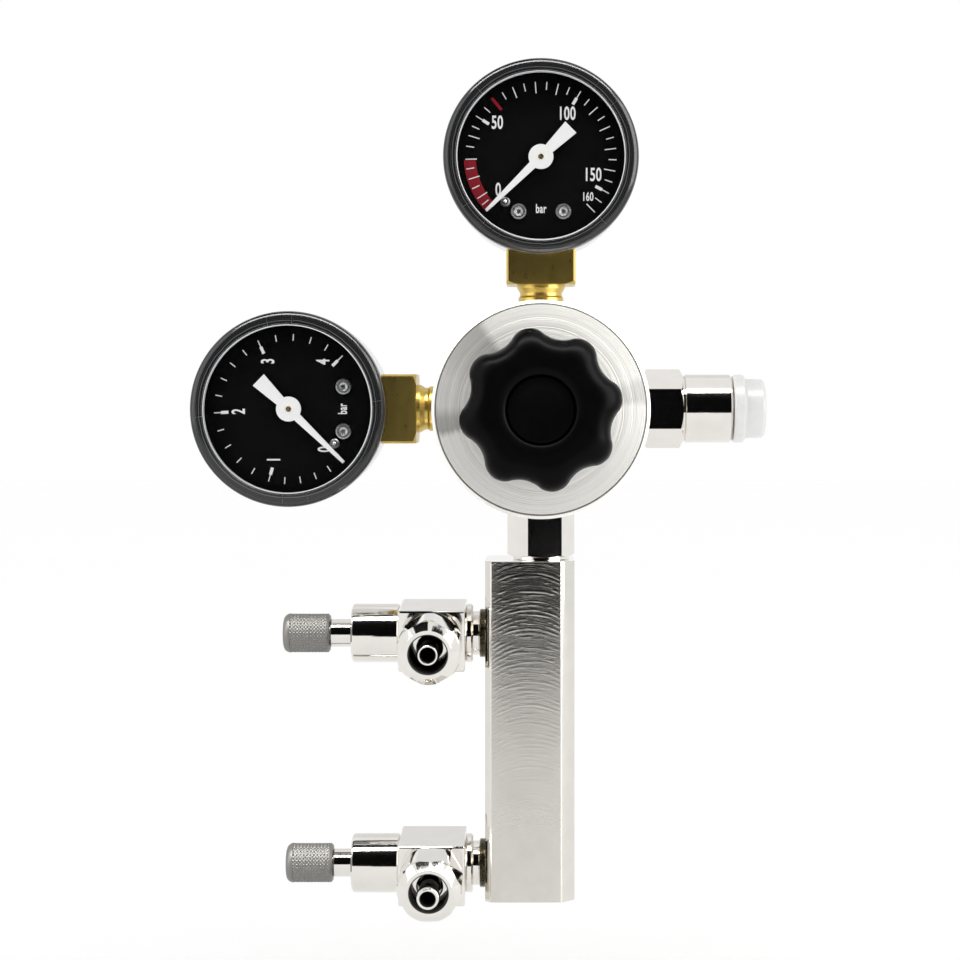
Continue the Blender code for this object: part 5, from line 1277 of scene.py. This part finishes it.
def build_gland(plan):
    """The round gland nut that closes the valve's chamber round its stem."""
    sizes = plan.sizes
    low, high, radius = sizes.square_end + 0.0001, sizes.gland_end, sizes.gland
    gland = spun([
        (0.0031, high - 0.0008), (0.0041, high - 0.0008), (0.0046, high - 0.0001), (0.005, high),
        (radius - 0.0005, high), (radius - 0.0001, high - 0.0003), (radius, high - 0.0007),
        (radius, low + 0.0004), (radius - 0.0003, low), (0.0047, low), (0.0047, low - 0.0055),
        (0.004, low - 0.006), (0.0031, low - 0.006),
    ], 128)
    plan.add("gland_nut", gland, "polished", "nickel", "gland", 30)


def knurl(shape, sizes, low, high):
    """Presses crossed grooves into the side of a spun knob, between two heights."""
    turns_per_metre = sizes.knurls / (math.tau * sizes.knob_radius)
    for vert in shape.verts:
        radius = math.hypot(vert.co.x, vert.co.y)
        if radius < sizes.knob_radius - 0.00001 or not low < vert.co.z < high:
            continue
        around = sizes.knurls * math.atan2(vert.co.y, vert.co.x) / math.tau
        along = turns_per_metre * (vert.co.z - low)
        grooves = (abs((around + along) % 1 - 0.5), abs((around - along) % 1 - 0.5))
        sink = sizes.knurl_depth * 2 * max(grooves)
        vert.co.x *= (radius - sink) / radius
        vert.co.y *= (radius - sink) / radius


def build_stem(plan):
    """The valve's stem and its knurled knob with a rounded end."""
    sizes = plan.sizes
    lift = plan.place @ Matrix.Translation((0, 0, plan.opening))
    start = sizes.knob_start
    end, radius = start + sizes.knob_length, sizes.knob_radius
    thick, pin, waist, needle, point = sizes.stem, 0.002, 0.0024, 0.0014, 0.0095
    stem = spun([
        (0, start + 0.004), (pin, start + 0.004), (pin, start - 0.0002), (thick - 0.0002, start - 0.0002),
        (thick, start - 0.0004), (thick, 0.0212), (waist, 0.0211), (waist, 0.0203), (thick, 0.0202),
        (thick, 0.0155), (needle, 0.0145), (needle, 0.012), (0.0003, point), (0, point),
    ], 64)
    plan.add("spindle", stem, "polished", "nickel", "stem", 30, lift, plan.stem_body)
    dome, rows = 0.0014, 72
    low, high = start + 0.0004, end - dome
    profile = [(0, end - 0.0003), (0.0012, end - 0.0003), (0.0015, end)]
    for step in range(8, 0, -1):
        bend = math.pi / 2 * step / 8
        profile.append((radius - dome * (1 - math.cos(bend)), high + dome * math.sin(bend)))
    profile += [(radius, high - (high - low) * step / rows) for step in range(rows + 1)]
    profile += [(radius - 0.0004, start), (0.0021, start), (0.0021, start + 0.0043), (0, start + 0.0043)]
    knob = spun(profile, 180)
    knurl(knob, sizes, low + 0.0001, high - 0.0001)
    plan.add("knurled_knob", knob, "knurled", "knurled_nickel", "knob", 40, lift, plan.stem_body)


def build_outlet(context, plan):
    """The hose nozzle and the union nut that holds a hose on it."""
    sizes = plan.sizes
    tip, outer, bore = sizes.nozzle_tip, sizes.nozzle, sizes.nozzle_bore
    nozzle = spun([
        (bore, tip - 0.0001), (bore + 0.0001, tip), (outer - 0.0002, tip), (outer, tip - 0.0003),
        (outer + 0.00015, tip - 0.0012), (outer + 0.00015, tip - 0.0022), (outer - 0.0001, tip - 0.0026),
        (outer - 0.0001, 0.0127), (outer + 0.0001, 0.012), (0.0026, 0.0119), (0.0026, 0.0085), (bore, 0.0085),
    ], 96)
    colours = context.scene.finish_colours
    # Nickel whose bore is painted dark, as painted shade.
    shaded_bore_finish = bore_shaded_nickel(colours, f"{plan.name}_nozzle_painted_bore_shade", plan.outlet, bore + 0.00003)
    plan.add("hose_nozzle", nozzle, shaded_bore_finish, "nickel", "nozzle", 30, plan.outlet)
    start = plan.nut_start
    end = start + sizes.nut_length
    rim, corner, cone = sizes.nut_rim, sizes.nut_round, end - sizes.nut_cone
    envelope = spun([
        (0, end), (rim, end), (rim + 0.0001, end - 0.0001), (corner - 0.0002, cone), (corner, cone - 0.0006),
        (corner, start + 0.0006), (corner - 0.0006, start), (0, start),
    ], 128)
    nut = combined(prism(hexagon(sizes.nut_hex, plan.nut_turn), start, end), [envelope], "INTERSECT")
    narrow, wide = sizes.nut_bore, 0.005
    hole = spun([
        (0, end + 0.001), (narrow + 0.0002, end + 0.001), (narrow + 0.0002, end - 0.0001),
        (narrow, end - 0.0003), (narrow, end - 0.0042), (wide, end - 0.0046), (wide, start - 0.001),
        (0, start - 0.001),
    ], 96)
    # Nickel whose bores are painted dark, as painted shade.
    shaded_bore_finish = bore_shaded_nickel(colours, f"{plan.name}_nut_painted_bore_shade", plan.outlet, narrow + 0.0002, wide + 0.0002, cone)
    plan.add("hose_nut", carved(nut, hole), shaded_bore_finish, "nickel", "union_nut", 14, plan.outlet, plan.nut_body)


class REGULATOR_OT_valves(bpy.types.Operator):
    """Build both needle valves: square body, gland, stem, knurled knob, nozzle and union nut"""

    bl_idname = "regulator.valves"
    bl_label = "Needle valves"

    def execute(self, context):
        bar, sizes = context.scene.manifold_sizes, context.scene.valve_sizes
        for plan in (
            ValvePlan(context, "upper", bar.upper_valve, bar.upper_tilt, sizes.upper_nut, 30, 0.0006),
            ValvePlan(context, "lower", bar.lower_valve, bar.lower_tilt, sizes.lower_nut, 0, 0.0),
        ):
            build_valve_body(plan)
            build_gland(plan)
            build_stem(plan)
            build_outlet(context, plan)
        return {"FINISHED"}


INNER_FINISHES = {
    "rubber": ("inlet_seal", "upper_valve_o_ring", "lower_valve_o_ring"),
    "steel": ("diaphragm_plate", "spring_button", "adjusting_spindle", "inlet_filter"),
    "works": ("valve_seat", "valve_poppet"),
    "polished": ("poppet_plug",),
}
WORKS_PIECES = ("bourdon_tube", "works_frame", "sector", "link", "pinion")


def coil(radius, wire, low, high, turns, sides=10):
    """A compression spring round +Z whose first and last half turns lie flat."""
    shape = bmesh.new()
    count, climb, flat = round(48 * turns), high - low - 2 * wire, 0.5 / turns
    previous = None
    for index in range(count + 1):
        share = index / count
        rise = min(1.0, max(0.0, (share - flat) / (1 - 2 * flat)))
        turn = Matrix.Rotation(math.tau * turns * share, 4, "Z")
        loop = bmesh.ops.create_circle(
            shape, segments=sides, radius=wire, cap_ends=index in (0, count),
            matrix=Matrix.Translation((0, 0, low + wire + climb * rise)) @ turn
            @ Matrix.Translation((radius, 0, 0)) @ Matrix.Rotation(math.pi / 2, 4, "X"),
        )["verts"]
        edges = {edge for vert in loop for edge in vert.link_edges if edge.other_vert(vert) in loop}
        if previous is not None:
            bmesh.ops.bridge_loops(shape, edges=list(previous | edges))
        previous = edges
    return shape


class REGULATOR_OT_soft_pieces(bpy.types.Operator):
    """Build the rubber diaphragm and both springs, each on a mesh of its own"""

    bl_idname = "regulator.soft_pieces"
    bl_label = "Soft pieces"

    def execute(self, context):
        sizes = context.scene.regulator_sizes
        place = body_station(sizes)
        low, top, wave, inner, outer, rim = 0.0108, 0.0116, 0.0006, 0.0089, 0.0113, 0.0183
        middle = (inner + outer) / 2
        disc = spun([
            (0, top), (inner, top), (middle, top + wave), (outer, top), (rim, top), (rim, low),
            (outer, low), (middle, low + wave), (inner, low), (0, low),
        ], 96)
        main, poppet = coil(0.0068, 0.0008, 0.0135, 0.0216, 3), coil(0.0021, 0.0003, -0.0082, -0.0025, 4)
        for name, shape, finish, node, joint, foot, keep in (
            ("diaphragm_disc", disc, "rubber", "diaphragm", "diaphragm_travel", low, 0.65),
            ("main_coil", main, "steel", "main_spring", "spring_button_travel", 0.0135, 0.62),
            ("poppet_coil", poppet, "steel", "poppet_spring", "poppet_travel", -0.0082, 0.9),
        ):
            piece = place_piece(name, shape, place, finish, "root", [node])
            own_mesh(piece)
        return {"FINISHED"}


class REGULATOR_OT_inner_pieces(bpy.types.Operator):
    """Give their finishes to the pieces inside the body, the gauges and the valves"""

    bl_idname = "regulator.inner_pieces"
    bl_label = "Inner pieces"

    def execute(self, context):
        chosen = {node: finish for finish, nodes in INNER_FINISHES.items() for node in nodes}
        for gauge in ("tank_gauge", "working_gauge"):
            chosen.update({f"{gauge}_{piece}": "works" for piece in WORKS_PIECES})
        for node, finish in chosen.items():
            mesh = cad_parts[node].data
            mesh.materials.clear()
            mesh.materials.append(finish_for(finish))
        return {"FINISHED"}


def card_towards(name, aim, azimuth, elevation, distance, width, height, surface, across=0.0):
    """A card that faces a point, then moved across. The azimuth counts from the camera's side towards +X."""
    turn, rise = math.radians(azimuth), math.radians(elevation)
    out = Vector((math.sin(turn) * math.cos(rise), -math.cos(turn) * math.cos(rise), math.sin(rise)))
    level = Vector((math.cos(turn), math.sin(turn), 0))
    shape = bmesh.new()
    bmesh.ops.create_grid(shape, x_segments=1, y_segments=1, size=0.5)
    bmesh.ops.scale(shape, verts=shape.verts[:], vec=(width, height, 1))
    moved(shape, station(aim + out * distance + level * across, -out, level))
    card = loose_object(name, shape)
    card.data.materials.append(surface)
    card.visible_camera = card.visible_shadow = card.visible_diffuse = False


def glow(name, shade, strength):
    finish = Finish(name)
    finish.surface(Base_Color=(0.0, 0.0, 0.0), Roughness=1.0)
    finish.shader.inputs["Specular IOR Level"].default_value = 0.0
    finish.shader.inputs["Emission Color"].default_value = (*shade, 1.0)
    finish.shader.inputs["Emission Strength"].default_value = strength
    return finish.material


class REGULATOR_OT_stage(bpy.types.Operator):
    """Set the camera, the pale floor, the white surroundings and the dark cards that the metal reflects"""

    bl_idname = "regulator.stage"
    bl_label = "Stage"

    def execute(self, context):
        scene, colours, sizes = context.scene, context.scene.finish_colours, context.scene.regulator_sizes
        camera = bpy.data.cameras.new("photo_camera")
        camera.lens, camera.sensor_width = 83, 36
        camera.shift_x, camera.shift_y = -0.0635, -0.0885
        camera.clip_start, camera.clip_end = 0.01, 20
        viewer = bpy.data.objects.new("photo_camera", camera)
        viewer.location = (-0.039, -0.455, 0.0028)
        viewer.rotation_euler = (math.pi / 2, 0, 0)
        scene.collection.objects.link(viewer)
        scene.camera = viewer
        world = bpy.data.worlds.new("white_room")
        world.use_nodes = True
        background = world.node_tree.nodes["Background"]
        background.inputs[0].default_value = (*colours.paper, 1)
        background.inputs[1].default_value = 1.0
        scene.world = world
        scene.view_settings.view_transform = "Standard"
        paper = Finish("pale_paper")
        grain = paper.noise(0.01)
        sheet = paper.surface(
            Base_Color=paper.mix(grain, (0.99, 0.99, 0.99), (1.0, 1.0, 1.0)), Roughness=0.95,
        )
        shape = bmesh.new()
        bmesh.ops.create_grid(shape, x_segments=1, y_segments=1, size=3)
        moved(shape, Matrix.Translation((0, 0, -0.13)))
        floor = loose_object("pale_floor", shape)
        floor.data.materials.append(sheet)
        warm, white = (1.0, 1.0, 0.98), (1.0, 1.0, 1.0)
        dark = glow("dark_card", (0.003, 0.003, 0.0033), 1.0)
        strong, soft = glow("strong_light", warm, 17.0), glow("soft_light", warm, 6.0)
        dim, back = glow("dim_light", white, 2.0), glow("back_light", white, 0.85)
        middle = body_centre(sizes)
        card_towards("dark_front", middle, 0, 22, 0.8, 1.1, 1.08, dark)
        card_towards("dark_low", middle - UP * 0.09, 0, 0, 0.55, 0.3, 0.08, dark)
        card_towards("dark_top", middle, 0, 90, 0.8, 0.6, 0.58, dark, -0.36)
        card_towards("light_high", middle, 0, 63, 0.9, 1.4, 0.22, strong)
        card_towards("light_right", middle, 62, 15, 0.9, 0.7, 0.9, soft)
        card_towards("light_left", middle, -62, 15, 0.9, 0.7, 0.9, dim)
        card_towards("light_back", middle, 180, 30, 1.2, 3.0, 0.9, back)
        return {"FINISHED"}


class REGULATOR_PT_pieces(bpy.types.Panel):
    """Lists the pieces in the order in which they are built"""

    bl_idname = "REGULATOR_PT_pieces"
    bl_label = "Gas regulator"
    bl_space_type = "VIEW_3D"
    bl_region_type = "UI"
    bl_category = "Regulator"

    def draw(self, context):
        column = self.layout.column(align=True)
        for operator in OPERATORS:
            column.operator(operator.bl_idname)
        for group in GROUPS:
            box = self.layout.box()
            for name in GROUPS[group].__annotations__:
                box.prop(getattr(context.scene, group), name)


OPERATORS = (
    REGULATOR_OT_body, REGULATOR_OT_bonnet, REGULATOR_OT_knob, REGULATOR_OT_inlet, REGULATOR_OT_manifold,
    REGULATOR_OT_gauges, REGULATOR_OT_valves, REGULATOR_OT_soft_pieces, REGULATOR_OT_inner_pieces,
    REGULATOR_OT_stage,
)
GROUPS = {
    "regulator_sizes": RegulatorSizes,
    "knob_sizes": KnobSizes,
    "gauge_sizes": GaugeSizes,
    "manifold_sizes": ManifoldSizes,
    "valve_sizes": ValveSizes,
    "finish_colours": FinishColours,
}


def register():
    for kind in (*GROUPS.values(), *OPERATORS, REGULATOR_PT_pieces):
        bpy.utils.register_class(kind)
    for group, kind in GROUPS.items():
        setattr(bpy.types.Scene, group, PointerProperty(type=kind))


def unregister():
    for group in GROUPS:
        delattr(bpy.types.Scene, group)
    for kind in reversed((*GROUPS.values(), *OPERATORS, REGULATOR_PT_pieces)):
        bpy.utils.unregister_class(kind)


def main():
    register()
    bpy.ops.regulator.body()
    bpy.ops.regulator.bonnet()
    bpy.ops.regulator.knob()
    bpy.ops.regulator.inlet()
    bpy.ops.regulator.manifold()
    bpy.ops.regulator.gauges()
    bpy.ops.regulator.valves()
    bpy.ops.regulator.soft_pieces()
    bpy.ops.regulator.inner_pieces()
    bpy.ops.regulator.stage()
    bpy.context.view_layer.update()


if __name__ == "__main__":
    main()
